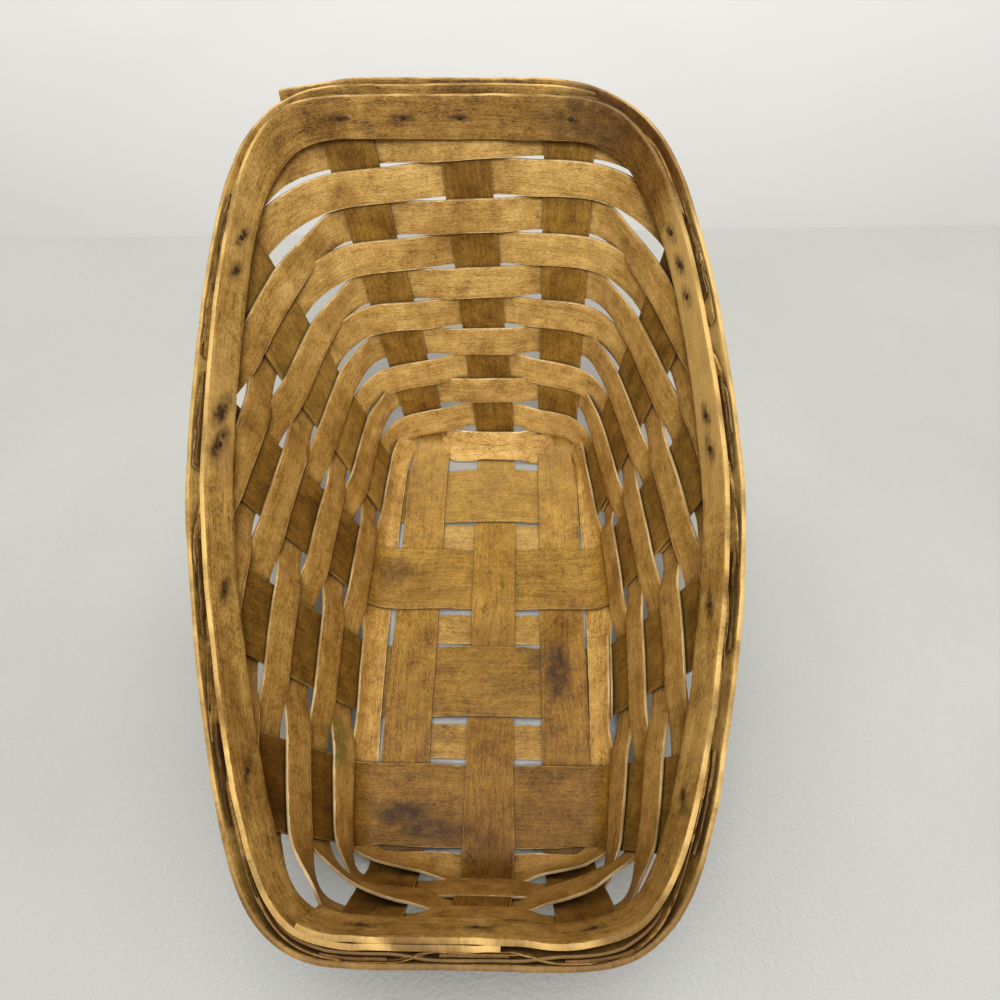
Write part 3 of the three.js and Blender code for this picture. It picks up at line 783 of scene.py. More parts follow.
def filler_strip(index, columns=6, count=34):
    """A narrow strip that lies flat under the lengthwise splints, between two crosswise ones."""
    seed = 25 + index * 1.7
    strip = Strip(f"floor_filler_{index + 1}_wood", seed)
    y = (SIDE_SPLINTS[index].place + SIDE_SPLINTS[index + 1].place) / 2
    edge = [(j / columns - 0.5) * FILLER_WIDTH for j in range(columns + 1)]
    for i in range(count + 1):
        along = FILLER_LENGTH * i / count
        x = FLOOR_CENTRE_X - FILLER_LENGTH / 2 + along
        points = []
        for d in edge:
            grow = wander(seed + (2 if d > 0 else 0), along, 12, 0.3) * abs(d) / FILLER_WIDTH
            bow = wander(seed, along + d, 18, 0.05)
            points.append(Vector((x, y + d + grow, bow - FILLER_DROP)))
        strip.add(along, points, edge)
    return strip


# Weaver rows

class Pass(NamedTuple):
    """Where a row passes an upright: the distance walked, half the contact and the layer."""

    upright: Upright
    distance: float
    half: float
    offset: float


def row_passes(index, walk, middle):
    found = []
    for upright in UPRIGHTS:
        angle = upright_angle(upright, middle) % TURN
        pinched = upright.wall == "front" and index == FULL_ROWS - 1
        offset = row_side(upright, index) * (PINCH if pinched else LAYER)
        found.append(Pass(upright, walk.distance(angle), upright.width / 2 + PASS_MARGIN, offset))
    return sorted(found, key=lambda p: p.distance)


def place_name(upright):
    """What the table of drifts calls an upright: its wall and its own name."""
    return f"{upright.wall} {upright.splint.rsplit('_', 1)[1]}"


def corner_name(before, after):
    walls = {before.upright.wall, after.upright.wall}
    named = [wall for wall in ("back", "front", "left", "right") if wall in walls]
    return f"{named[0]} {named[1]} corner"


class RowEdges:
    """Where a row's two edges lie on the skin, with the row's own drifts."""

    def __init__(self, index, walk, passed):
        self.walk = walk
        self.passed = passed
        self.drifts = []
        places = [(place_name(p.upright), p.distance) for p in passed]
        for before, after in zip(passed, passed[1:]):
            if before.upright.wall != after.upright.wall:
                middle = (before.distance + before.half + after.distance - after.half) / 2
                places.append((corner_name(before, after), middle))
        for drift in DRIFTS.get(index, ()):
            self.drifts += [(drift, d) for name, d in places if name == drift.place]

    def layer(self, d):
        """How far from the skin the row lies at a walked distance."""
        before = after = None
        for p in self.passed:
            if abs(d - p.distance) <= p.half:
                return p.offset
            if p.distance < d:
                before = p
            elif after is None:
                after = p
        if before is None or after is None:
            return (after or before).offset
        enter, leave = before.distance + before.half, after.distance - after.half
        return lerp(before.offset, after.offset, smooth((d - enter) / (leave - enter)))

    def point(self, d, station, up, share, ripple=0.0):
        """A point of the row at a share of its width."""
        sink = stand = 0.0
        for drift, place in self.drifts:
            reach = drift.before if d < place else drift.after
            hold = smooth((reach - abs(d - place)) / (reach - drift.flat))
            sink += hold * lerp(drift.low_sink, drift.top_sink, share)
            stand += hold * lerp(drift.low_stand, drift.top_stand, share)
        return station.place(up - sink, self.layer(d) + stand + ripple)


class Corner:
    """A row's free run round a corner: a springy curve from one upright to the next."""

    def __init__(self, edges, low, before, after):
        self.enter = before.distance + before.half
        self.leave = after.distance - after.half
        end = next(p for p in (before, after) if p.upright.wall in ("back", "front"))
        first_at_back = low == FIRST_ROW and end.upright.wall == "back"
        usual = CORNERS[corner_name(before, after)][end.offset > 0]
        self.shape = FIRST_ROW_BACK if first_at_back else usual
        share = self.shape.pivot
        ends = []
        for d in (self.enter, self.leave):
            stations = [Station(edges.walk.angle(d + step)) for step in (-1, 0, 1)]
            behind, here, beyond = (
                edges.point(d, station, low + share * WEAVER_WIDTH, share) for station in stations)
            lift = (edges.point(d, stations[1], low + WEAVER_WIDTH, 1)
                    - edges.point(d, stations[1], low, 0))
            ends.append((here, (beyond - behind).normalized(), lift / WEAVER_WIDTH))
        (self.start, way_in, self.lift_in), (self.end, way_out, self.lift_out) = ends
        # Both ways are drawn out to where they cross, and the curve is pulled that way
        gap = self.end - self.start
        cross = way_in.x * way_out.y - way_in.y * way_out.x
        reach_in = (gap.x * way_out.y - gap.y * way_out.x) / cross
        reach_out = (way_in.x * gap.y - way_in.y * gap.x) / cross
        self.pull_in = way_in * (3 * self.shape.fullness * reach_in)
        self.pull_out = way_out * (3 * self.shape.fullness * reach_out)

    def centre(self, t):
        """The line that the ribbon turns about, at a share of its free run."""
        s = t * t * (3 - 2 * t)
        course = self.start * (1 - s) + self.end * s
        return course + self.pull_in * (t * (1 - t) ** 2) - self.pull_out * (t * t * (1 - t))

    def place(self, d, aside):
        """A point of the ribbon, at a distance walked and a distance above its lower edge."""
        t = clamp((d - self.enter) / (self.leave - self.enter))
        ahead = (self.centre(min(t + 0.01, 1)) - self.centre(max(t - 0.01, 0))).normalized()
        turned = self.shape.upright * math.sin(math.pi * t) ** 2
        along_wall = self.lift_in.lerp(self.lift_out, smooth(t))
        lift = along_wall * (1 - turned) + Vector((0, 0, turned))
        lift = (lift - ahead * lift.dot(ahead)).normalized() * lerp(along_wall.length, 1, turned)
        return self.centre(t) + lift * (aside - self.shape.pivot * WEAVER_WIDTH)


def row_course(index, walk, low):
    """The uprights that a row passes, and the walked distances of its two ends."""
    def later(p, turns=1):
        return p._replace(distance=p.distance + turns * walk.round)

    passes = row_passes(index, walk, low + WEAVER_WIDTH / 2)
    if index < FULL_ROWS:
        splint, wall = ROW_JOINS[index]
        upright = upright_of(f"side_splint_{splint}", wall)
        joint = next(i for i, p in enumerate(passes) if p.upright == upright)
        again = later(passes[joint])
        over = math.copysign(SECOND_LAYER, again.offset)
        again = again._replace(offset=over, half=again.half + LAP_REACH)
        passed = [*passes[joint:], *(later(p) for p in passes[:joint]), again]
        return passed, passed[0].distance - passed[0].half, again.distance + again.half

    right = left = math.pi / 2
    while rim_top(right) - ROW_END_DROP - low > ROW_END_WIDTH and right > -math.pi / 2:
        right -= 2 * NEARBY
    while rim_top(left) - ROW_END_DROP - low > ROW_END_WIDTH and left < 1.5 * math.pi:
        left += 2 * NEARBY
    start, end = walk.distance(right), walk.distance(left)
    both = [later(p, -1) for p in passes] + passes
    passed = [p for p in both if p.distance + p.half > start and p.distance - p.half < end]
    return passed, start, end


def straighten(point, share):
    """Draws the first row's lower edge onto a straight line across the back of the floor."""
    reach = FIRST_ROW_REACH - abs(point.x)
    if point.y > FIRST_ROW_LINE - 12 and reach > 0:
        line = FIRST_ROW_LINE + FIRST_ROW_SKEW * point.x
        point.y = lerp(point.y, line, smooth(reach / 8) * (1 - share))


def row_strip(index, columns=6, step=2.0):
    """One row of weaving: inside one upright and outside the next, all round or to the rim."""
    seed = 40 + index * 3.1
    strip = Strip(f"weaver_row_{index + 1:02d}_wood", seed)
    low = FIRST_ROW + index * ROW_PITCH
    walk = Walk(low + WEAVER_WIDTH / 2)
    passed, start, end = row_course(index, walk, low)
    edges = RowEdges(index, walk, passed)
    corners = [Corner(edges, low, before, after) for before, after in zip(passed, passed[1:])
               if before.upright.wall != after.upright.wall]

    bent = set()
    count = math.ceil((end - start) / step)
    for i in range(count + 1):
        d = lerp(start, end, i / count)
        station = Station(walk.angle(d))
        along = d - start
        corner = next((c for c in corners if c.enter < d < c.leave), None)
        if any(c.enter - CORNER_EASE < d < c.leave + CORNER_EASE for c in corners):
            bent.add(i)
        bottom = low + wander(seed, along, 23, 0.35) + wander(seed, along, 6, 0.12)
        top = low + WEAVER_WIDTH + wander(seed + 4, along, 23, 0.35) + wander(seed, along, 5, 0.12)
        limit = station.top - ROW_DROP + wander(seed + 2, along, 9, 0.4)
        if index == 0:
            bottom = low + 0.2
        if index == FULL_ROWS - 1:
            # In front the last full row fills the band
            top = max(top, lerp(top, limit, front_share(walk.angle(d) % TURN)))
        points, across = [], []
        for j in range(columns + 1):
            share = j / columns
            up = min(lerp(bottom, top, share), limit)
            point = edges.point(d, station, up, share, wander(seed, along + share, 15, 0.16))
            if corner:
                # The row springs free of the skin, but not where the bands hold it
                near = min(d - corner.enter, corner.leave - d)
                free = smooth((station.top - BAND_WIDTH - top) / 5 + 1.2) * smooth(near / 2 + 0.3)
                point = point.lerp(corner.place(d, up - low), free)
            if index == 0:
                straighten(point, share)
            points.append(point)
            across.append(((up - bottom) / (top - bottom) - 0.5) * WEAVER_WIDTH)
        strip.add(along, points, across)
    for _ in range(EASE_TIMES):
        strip.ease(bent)
    return strip


# Rim bands

def inner_layer(angle):
    """How far the inner band lies inside the skin, first over its own other end."""
    second = 1 - smooth((angle - INNER_RAMP[0]) / (INNER_RAMP[1] - INNER_RAMP[0]))
    middle, reach, sprung = INNER_SPRING
    sprung *= smooth(1 - abs(angle - middle) / reach)
    return band_offset(angle) + BAND_STEP * second + sprung


def outer_layer(angle):
    """How far the outer band lies from the skin, at last over its own other end."""
    second = smooth((angle - OUTER_RAMP[0]) / (OUTER_RAMP[1] - OUTER_RAMP[0]))
    return -band_offset(angle) - BAND_STEP * second


def outer_rise(angle):
    """Across the back each outer layer stands a little above the one inside it."""
    back = smooth((math.sin(angle) - 0.72) / 0.2)
    return back * BACK_RISE * (1 + smooth((angle - OUTER_RAMP[0]) / 0.3))


def tack_angles():
    """The angles of the tacks: one to three on each upright, and one more between two."""
    def line_angle(upright, side):
        up = rim_top(upright_angle(upright, rim_top(upright.start) - TACK_DROP)) - TACK_DROP
        return beside(upright_angle(upright, up), up, side)

    angles = []
    for upright in UPRIGHTS:
        for i in range(upright.tacks):
            angles.append(line_angle(upright, (i - (upright.tacks - 1) / 2) * TACK_SPACING))
    back = [u for u in UPRIGHTS if u.wall == "back"]
    angles.append((line_angle(back[0], 0) + line_angle(back[1], 0)) / 2)
    return [angle % TURN for angle in angles]


TACK_ANGLES = tack_angles()


def slack(angle):
    """How free a band is to bow: not at all at a tack."""
    nearest = min(abs((angle - held + math.pi) % TURN - math.pi) for held in TACK_ANGLES)
    return smooth(nearest / TACK_HOLD)


def rim_angles(start, end, step):
    """Angles along the rim, a step apart."""
    angles, angle = [start], start
    last = profile_at(start).point(rim_top(start))
    while angle < end:
        here = profile_at(angle).point(rim_top(angle))
        if (here - last).length > step:
            last = here
            angles.append(angle)
        angle += math.radians(0.2)
    return [*angles, end]


def band_strip(name, seed, start, end, layer, rise, tail, columns=8, step=1.7):
    """A rim band bent round the top, with a free straight tail past its end."""
    strip = Strip(name, seed)
    shares = [j / columns for j in range(columns + 1)]
    across = [(share - 0.5) * BAND_WIDTH for share in shares]
    along, last = 0.0, None
    for angle in rim_angles(start, end, step):
        station = Station(angle)
        middle = station.place(station.top - BAND_WIDTH / 2, layer(angle))
        if last is not None:
            along += (middle - last).length
        last = middle
        edge = station.top + rise(angle)
        high = edge + wander(seed, along, 30, 0.5) + wander(seed, along, 4, 0.14)
        low = edge - BAND_WIDTH + wander(seed + 6, along, 26, 0.6)
        low += wander(seed + 6, along, 5, 0.16)
        bow = wander(seed + 2, along, 22, 0.34)
        points = []
        for share in shares:
            ripple = wander(seed + share * 2, along, 8, 0.16)
            offset = layer(angle) + (bow + ripple) * slack(angle)
            points.append(station.place(lerp(low, high, share), offset))
        strip.add(along, points, across)
    if tail > 0:
        ahead = [(b - a).normalized() for a, b in zip(strip.rings[-3], strip.rings[-1])]
        base = strip.rings[-1]
        steps = math.ceil(tail / step)
        for i in range(1, steps + 1):
            reach = [(tail - TAIL_SLANT * share) * i / steps for share in shares]
            points = [p + a * r for p, a, r in zip(base, ahead, reach)]
            strip.add(along + tail * i / steps, points, across)
    return strip


# Materials

def linear(code):
    """sRGB hex to the linear colour that Blender's sockets take."""
    def channel(value):
        return value / 12.92 if value <= 0.04045 else ((value + 0.055) / 1.055) ** 2.4

    digits = code.lstrip("#")
    return tuple(channel(int(digits[i:i + 2], 16) / 255) for i in (0, 2, 4)) + (1.0,)


def add(tree, kind, inputs=None, **settings):
    """Adds a node: settings are its properties, inputs are values or sockets to link."""
    made = tree.nodes.new(kind)
    for key, value in settings.items():
        setattr(made, key, value)
    for key, value in (inputs or {}).items():
        socket = made.inputs[key]
        if isinstance(value, bpy.types.NodeSocket):
            tree.links.new(value, socket)
        else:
            socket.default_value = value
    return made


def new_material(name):
    material = bpy.data.materials.new(name)
    material.use_nodes = True
    tree = material.node_tree
    tree.nodes.clear()
    out = add(tree, "ShaderNodeOutputMaterial")
    return material, tree, out


def wood_patterns(tree, place, strip):
    """The noises that split wood is drawn from, by name.

    Place is the object's own space and strip is the place along and across the strip. Both are in
    metres, so each pattern's scale is its cells per metre.
    """
    patterns = {}
    for key, cells, detail, roughness in (
            # Waves of 26 mm in the grain, blots of 6 mm and clouds of 22 mm in the stain
            ("drift", 38.0, 1.0, 0.6), ("mottle", 170.0, 6.0, 0.75), ("soak", 45.0, 5.0, 0.65),
            # Specks of 3 mm in a dark spot, notches of 2.5 mm and patches of 17 mm on an edge
            ("broken", 330.0, 4.0, 0.6), ("ragged", 400.0, 2.0, 0.6), ("patches", 60.0, 3.0, 0.6)):
        patterns[key] = add(tree, "ShaderNodeTexNoise", {
            "Vector": place, "Scale": cells, "Detail": detail, "Roughness": roughness}).outputs[0]

    # The grain drifts sideways by a millimetre over a few centimetres
    drift = add(tree, "ShaderNodeMath", {0: patterns["drift"], 1: 0.5}, operation="SUBTRACT")
    bend = add(tree, "ShaderNodeMath", {
        0: drift.outputs[0], 1: 4 * MM, 2: strip["Y"]}, operation="MULTIPLY_ADD")
    grain = add(tree, "ShaderNodeCombineXYZ", {0: strip["X"], 1: bend.outputs[0]})
    for key, along, across, detail, roughness in (
            # Fibres of 1.2 by 0.4 mm and streaks of 17 by 1.1 mm
            ("fibres", 850, 2300, 4.0, 0.8), ("streaks", 60, 900, 4.0, 0.7),
            # Figure of 83 by 8 mm and pores of 4 by 0.4 mm
            ("figure", 12, 130, 2.0, 0.6), ("pores", 260, 2500, 1.0, 0.6)):
        drawn = add(tree, "ShaderNodeVectorMath", {
            0: grain.outputs[0], 1: (along, across, 0)}, operation="MULTIPLY")
        patterns[key] = add(tree, "ShaderNodeTexNoise", {
            "Vector": drawn.outputs[0], "Scale": 1.0, "Detail": detail,
            "Roughness": roughness}).outputs[0]
    return patterns


def wood_shares(tree, patterns, reach, edge_wear, cut_shade):
    """How much of each spot, rubbing and painted shade lies at a point, by name.

    Reach is how far the point lies in from the strip's long edge, in metres.
    """
    tone, stain, wear = (
        add(tree, "ShaderNodeAttribute", attribute_name=key).outputs["Fac"]
        for key in ("tone", "stain", "wear"))
    fray = add(tree, "ShaderNodeMath", {0: patterns["ragged"], 1: 0.5}, operation="SUBTRACT")
    ragged = add(tree, "ShaderNodeMath", {
        0: fray.outputs[0], 1: 0.9 * MM, 2: reach}, operation="MULTIPLY_ADD").outputs[0]
    # Occlusion within 2.4 mm, which paints shade where the strips lie against each other
    contact_shade = add(tree, "ShaderNodeAmbientOcclusion", {"Distance": 2.4 * MM}, samples=4).outputs["AO"]

    # What each share is read from, between which values, and what it is at both
    share = {}
    for key, source, low, high, at_low, at_high in (
            ("pores", patterns["pores"], 0.63, 0.71, 0.0, 0.5),
            ("pits", patterns["pores"], 0.58, 0.72, 0.0, 0.4),
            ("roughness", patterns["fibres"], 0.3, 0.7, 0.46, 0.66),
            ("soak", patterns["soak"], 0.5, 0.66, 0.0, 0.7),
            ("patches", patterns["patches"], 0.36, 0.52, 0.45, 1.0),
            ("broken", patterns["broken"], 0.36, 0.64, 0.5, 1.2),
            ("dark", tone, -1.0, 0.0, 1.0, 0.0),
            ("pale", tone, 0.0, 1.0, 0.0, 0.7),
            ("stain", stain, 0.0, 1.0, 0.0, 1.0),
            ("mould", stain, -1.0, 0.0, 1.0, 0.0),
            ("rubbed", ragged, 0.08 * MM, 0.3 * MM, 1.0, 0.0),
            # The cut, the side face between the rounded corners, is painted darker, as shade; the
            # next share sets how much, most where the edge is least rubbed
            ("cut", reach, 0.02 * MM, 0.08 * MM, 1.0, 0.0),
            ("painted_shade", wear, 0.1, 0.8, 0.75, cut_shade),
            ("contact_shade", contact_shade, 0.25, 0.85, 0.8, 0.0)):
        share[key] = add(tree, "ShaderNodeMapRange", {
            0: source, 1: low, 2: high, 3: at_low, 4: at_high}).outputs[0]
    for key, factor in (
            ("stain", share["broken"]), ("mould", share["broken"]), ("cut", share["painted_shade"]),
            ("rubbed", wear), ("rubbed", share["patches"]), ("rubbed", edge_wear)):
        share[key] = add(tree, "ShaderNodeMath", {
            0: share[key], 1: factor}, operation="MULTIPLY").outputs[0]
    return share


def maple(name, half_width, dark, mid, light, worn, edge_wear, cut_shade):
    """Maple splint, split along the grain and stained honey brown.

    The eye sees short fibres 0.4 mm wide, darker streaks 1 to 3 mm wide, short dark pores, a
    mottle of deeper staining, pale rubbed edges, and painted shade where the strips lie together
    and on their cut edges.
    """
    material, tree, out = new_material(name)
    place = add(tree, "ShaderNodeTexCoord").outputs["Object"]
    uv = add(tree, "ShaderNodeUVMap", uv_map="strip")
    strip = add(tree, "ShaderNodeSeparateXYZ", {0: uv.outputs[0]}).outputs
    aside = add(tree, "ShaderNodeMath", {0: strip["Y"]}, operation="ABSOLUTE")
    reach = add(tree, "ShaderNodeMath", {
        0: half_width * MM, 1: aside.outputs[0]}, operation="SUBTRACT")
    patterns = wood_patterns(tree, place, strip)
    share = wood_shares(tree, patterns, reach.outputs[0], edge_wear, cut_shade)

    # How light the wood is, from all of its grain together
    value = 0.0
    for key, weight in (("fibres", 0.40), ("streaks", 0.19), ("figure", 0.09), ("mottle", 0.32)):
        value = add(tree, "ShaderNodeMath", {
            0: patterns[key], 1: weight, 2: value}, operation="MULTIPLY_ADD").outputs[0]
    ramp = add(tree, "ShaderNodeValToRGB", {0: value})
    stops = ramp.color_ramp.elements
    stops[0].position, stops[0].color = 0.405, linear(dark)
    stops[1].position, stops[1].color = 0.595, linear(light)
    stops.new(0.495).color = linear(mid)

    colour = ramp.outputs[0]
    for key, shade, blend in (
            # Pores and fine checks, dark and short
            ("pores", "#4A3413", "MIX"),
            # Slow blotches, where the stain soaked in deeper
            ("soak", "#C6B48E", "MULTIPLY"),
            # The strip's tone, its own colour together with painted light and shade: darker and
            # redder below nought, rubbed golden above
            ("dark", "#A08448", "MULTIPLY"),
            ("pale", worn, "MIX"),
            # Marked spots, with ragged edges, and the painted shade in the slot between the bands
            ("stain", "#39230F", "MIX"),
            ("mould", "#46521E", "MIX"),
            # The corners of the edges are rubbed pale in patches, and the cut between them is
            # painted darker, as shade
            ("rubbed", worn, "MIX"),
            ("cut", "#5E431C", "MIX"),
            # Painted shade where one strip lies against the next, darkest where the occlusion is
            # deepest
            ("contact_shade", "#2A1C08", "MIX")):
        coat = add(tree, "ShaderNodeMix", {0: share[key], 6: colour, 7: linear(shade)},
                   data_type="RGBA", blend_type=blend)
        colour = coat.outputs[2]

    # Fibres and streaks stand up, and the pores lie deeper
    grooves = add(tree, "ShaderNodeMath", {0: patterns["streaks"], 1: 0.6}, operation="MULTIPLY")
    ridges = add(tree, "ShaderNodeMath", {
        0: patterns["fibres"], 1: 0.7, 2: grooves.outputs[0]}, operation="MULTIPLY_ADD")
    height = add(tree, "ShaderNodeMath", {
        0: ridges.outputs[0], 1: share["pits"]}, operation="SUBTRACT")
    bump = add(tree, "ShaderNodeBump", {
        "Strength": 0.6, "Distance": 0.3 * MM, "Height": height.outputs[0]})
    shader = add(tree, "ShaderNodeBsdfPrincipled", {
        "Base Color": colour, "Roughness": share["roughness"], "Normal": bump.outputs[0],
        "Specular IOR Level": 0.22})
    tree.links.new(shader.outputs[0], out.inputs["Surface"])
    return material


def rusted_iron(name, dark, bloom):
    """Cut tacks of plain iron, rusted nearly black with a brown bloom in spots of 0.6 mm."""
    material, tree, out = new_material(name)
    place = add(tree, "ShaderNodeTexCoord").outputs["Object"]
    rust = add(tree, "ShaderNodeTexNoise", {"Vector": place, "Scale": 1800.0, "Detail": 3.0})
    ramp = add(tree, "ShaderNodeValToRGB", {0: rust.outputs[0]})
    for stop, position, colour in zip(ramp.color_ramp.elements, (0.4, 0.7), (dark, bloom)):
        stop.position, stop.color = position, linear(colour)
    bump = add(tree, "ShaderNodeBump", {
        "Strength": 0.5, "Distance": 0.1 * MM, "Height": rust.outputs[0]})
    shader = add(tree, "ShaderNodeBsdfPrincipled", {
        "Base Color": ramp.outputs[0], "Roughness": 0.7, "Metallic": 0.4,
        "Normal": bump.outputs[0]})
    tree.links.new(shader.outputs[0], out.inputs["Surface"])
    return material


def grey_laminate(name, colour):
    """Table top of grey laminate, pressed with pebbles 1.4 mm wide.

    The eye sees faint clouds 11 cm wide on it, and the basket's shade painted into its colour,
    which is deepest in front.
    """
    material, tree, out = new_material(name)
    place = add(tree, "ShaderNodeTexCoord").outputs["Object"]
    pebbles = add(tree, "ShaderNodeTexNoise", {"Vector": place, "Scale": 700.0, "Detail": 2.0})
    clouds = add(tree, "ShaderNodeTexNoise", {"Vector": place, "Scale": 9.0, "Detail": 3.0})
    # Painted shade: occlusion within 13 cm darkens the table round the basket, more towards the
    # front
    shade = add(tree, "ShaderNodeAmbientOcclusion", {"Distance": 0.13}, samples=8)
    parts = add(tree, "ShaderNodeSeparateXYZ", {0: place})
    deepest = add(tree, "ShaderNodeMapRange", {
        0: parts.outputs["Y"], 1: -0.12, 2: 0.07, 3: 0.0, 4: 0.75})
    depth = add(tree, "ShaderNodeMapRange", {
        0: shade.outputs["AO"], 1: 0.2, 2: 0.93, 3: deepest.outputs[0], 4: 1.0})
    cloudy = add(tree, "ShaderNodeMapRange", {
        0: clouds.outputs[0], 1: 0.3, 2: 0.7, 3: 0.95, 4: 1.05})
    even = add(tree, "ShaderNodeMath", {0: depth.outputs[0], 1: cloudy.outputs[0]},
               operation="MULTIPLY")
    shaded = add(tree, "ShaderNodeVectorMath", {0: tuple(colour)[:3], 3: even.outputs[0]},
                 operation="SCALE")
    bump = add(tree, "ShaderNodeBump", {
        "Strength": 0.5, "Distance": 0.3 * MM, "Height": pebbles.outputs[0]})
    shader = add(tree, "ShaderNodeBsdfPrincipled", {
        "Base Color": shaded.outputs[0], "Roughness": 0.42, "Normal": bump.outputs[0]})
    tree.links.new(shader.outputs[0], out.inputs["Surface"])
    return material


def hung_cotton(name, colour):
    """Matt white cotton hung behind the table, with slow soft folds 20 cm wide."""
    material, tree, out = new_material(name)
    place = add(tree, "ShaderNodeTexCoord").outputs["Object"]
    folds = add(tree, "ShaderNodeTexNoise", {
        "Vector": place, "Scale": 5.0, "Detail": 1.0, "Distortion": 0.6})
    bump = add(tree, "ShaderNodeBump", {
        "Strength": 0.25, "Distance": 15 * MM, "Height": folds.outputs[0]})
    shader = add(tree, "ShaderNodeBsdfPrincipled", {
        "Base Color": tuple(colour), "Roughness": 0.9, "Normal": bump.outputs[0]})
    tree.links.new(shader.outputs[0], out.inputs["Surface"])
    return material


# Add-on

class BasketSizes(bpy.types.PropertyGroup):
    """Sizes that can be changed without touching the weave."""

    splint_thickness: bpy.props.FloatProperty(
        name="Splint thickness", description="Thickness of the uprights and fillers",
        default=SPLINT_THICKNESS * MM, unit="LENGTH", precision=5)
    weaver_thickness: bpy.props.FloatProperty(
        name="Weaver thickness", description="Thickness of the woven rows",
        default=WEAVER_THICKNESS * MM, unit="LENGTH", precision=5)
    band_thickness: bpy.props.FloatProperty(
        name="Band thickness", description="Thickness of the rim bands",
        default=BAND_THICKNESS * MM, unit="LENGTH", precision=5)
    edge_rounding: bpy.props.FloatProperty(
        name="Edge rounding", description="Radius of the rubbed edges of the splints",
        default=0.22 * MM, unit="LENGTH", precision=5)
    band_rounding: bpy.props.FloatProperty(
        name="Band rounding", description="Radius of the rubbed edges of the rim bands",
        default=0.45 * MM, unit="LENGTH", precision=5)
    tack_radius: bpy.props.FloatProperty(
        name="Tack head radius", description="Radius of the tack heads",
        default=1.0 * MM, unit="LENGTH", precision=5)


def basket_colour(name, description, code):
    return bpy.props.FloatVectorProperty(
        name=name, description=description, subtype="COLOR", size=4, min=0, max=1,
        default=linear(code))


class BasketColours(bpy.types.PropertyGroup):
    """Colours of the stage."""

    table: basket_colour("Table", "Colour of the table top", "#A3A39E")
    wall: basket_colour("Wall", "Colour of the backdrop behind the table", "#F6F4EE")


# By kind of strip: half its width, the dark, middle and light of its grain, its rubbed edge, how
# far that edge is rubbed, and how much painted shade the cut keeps where the edge is rubbed
WOODS = {
    "end": (END_WIDTH / 2, "#533814", "#8E6927", "#B28B3F", "#D2B070", 0.3, 0.4),
    "side": (SIDE_WIDTH / 2, "#533914", "#8C6826", "#B08A3F", "#D2B070", 0.3, 0.4),
    "filler": (FILLER_WIDTH / 2, "#5E431A", "#997536", "#BD984E", "#D6B678", 0.6, 0.4),
    "weaver": (WEAVER_WIDTH / 2, "#755422", "#B48B44", "#D8B36C", "#ECD09A", 0.85, 0.55),
    "band": (BAND_WIDTH / 2, "#503614", "#A27C3A", "#CAA45E", "#C6A260", 0.85, 0.0),
}


def wood(kind):
    """The wood of one kind of strip, made once."""
    name = f"stained maple {kind} splint"
    return bpy.data.materials.get(name) or maple(name, *WOODS[kind])


class PieceOperator:
    """Shared options of the operators that build a group of pieces."""

    bl_options = {"REGISTER", "UNDO"}

    @classmethod
    def poll(cls, context):
        return context.mode == "OBJECT"


class BASKET_OT_end_splints(PieceOperator, bpy.types.Operator):
    """Lay the three lengthwise splints down the back wall, along the floor and up the front."""

    bl_idname = "basket.end_splints"
    bl_label = "End splints"

    def execute(self, context):
        sizes = context.scene.basket_sizes
        for i, s in enumerate(END_SPLINTS):
            crossings = [(t.place, (i + j) % 2 == 0) for j, t in enumerate(SIDE_SPLINTS)][::-1]
            name = f"end_splint_{s.name}"
            strip = splint_strip(
                f"{name}_wood", 1 + i * 2.3, upright_of(name, "front"), upright_of(name, "back"),
                crossings, SIDE_WIDTH / 2)
            obj = strip_mesh(strip, sizes.splint_thickness, sizes.edge_rounding)
            paint(obj, splint_tone_and_shade, FLOOR_STAINS, strip_wear, slot_shade)
            hand_over(obj, wood("end"), "end_splint_wood", name)
        return {"FINISHED"}


class BASKET_OT_side_splints(PieceOperator, bpy.types.Operator):
    """Lay the four crosswise splints down the left wall, across the floor and up the right."""

    bl_idname = "basket.side_splints"
    bl_label = "Side splints"

    def execute(self, context):
        sizes = context.scene.basket_sizes
        for j in range(len(SIDE_SPLINTS)):
            crossings = [(t.place, (i + j) % 2 == 1) for i, t in enumerate(END_SPLINTS)]
            name = f"side_splint_{j + 1}"
            strip = splint_strip(
                f"{name}_wood", 11 + j * 2.3, upright_of(name, "left"), upright_of(name, "right"),
                crossings, END_WIDTH / 2, columns=14)
            obj = strip_mesh(strip, sizes.splint_thickness, sizes.edge_rounding)
            paint(obj, splint_tone_and_shade, FLOOR_STAINS, strip_wear, slot_shade)
            hand_over(obj, wood("side"), "side_splint_wood", name)
        return {"FINISHED"}


class BASKET_OT_floor_fillers(PieceOperator, bpy.types.Operator):
    """Slide the three narrow fillers under the lengthwise splints."""

    bl_idname = "basket.floor_fillers"
    bl_label = "Floor fillers"

    def execute(self, context):
        sizes = context.scene.basket_sizes
        for i in range(len(SIDE_SPLINTS) - 1):
            strip = filler_strip(i)
            obj = strip_mesh(strip, sizes.splint_thickness, sizes.edge_rounding)
            paint(obj, filler_tone_and_shade)
            hand_over(obj, wood("filler"), "filler_wood", f"floor_filler_{i + 1}")
        return {"FINISHED"}


class BASKET_OT_weaver_rows(PieceOperator, bpy.types.Operator):
    """Weave the eleven rows through the uprights."""

    bl_idname = "basket.weaver_rows"
    bl_label = "Weaver rows"

    def execute(self, context):
        sizes = context.scene.basket_sizes
        for index in range(ROW_COUNT):
            obj = strip_mesh(row_strip(index), sizes.weaver_thickness, sizes.edge_rounding)
            paint(obj, weaver_painted_shade, ROW_STAINS, strip_wear, slot_shade)
            hand_over(obj, wood("weaver"), "weaver_wood", f"weaver_row_{index + 1:02d}")
        return {"FINISHED"}


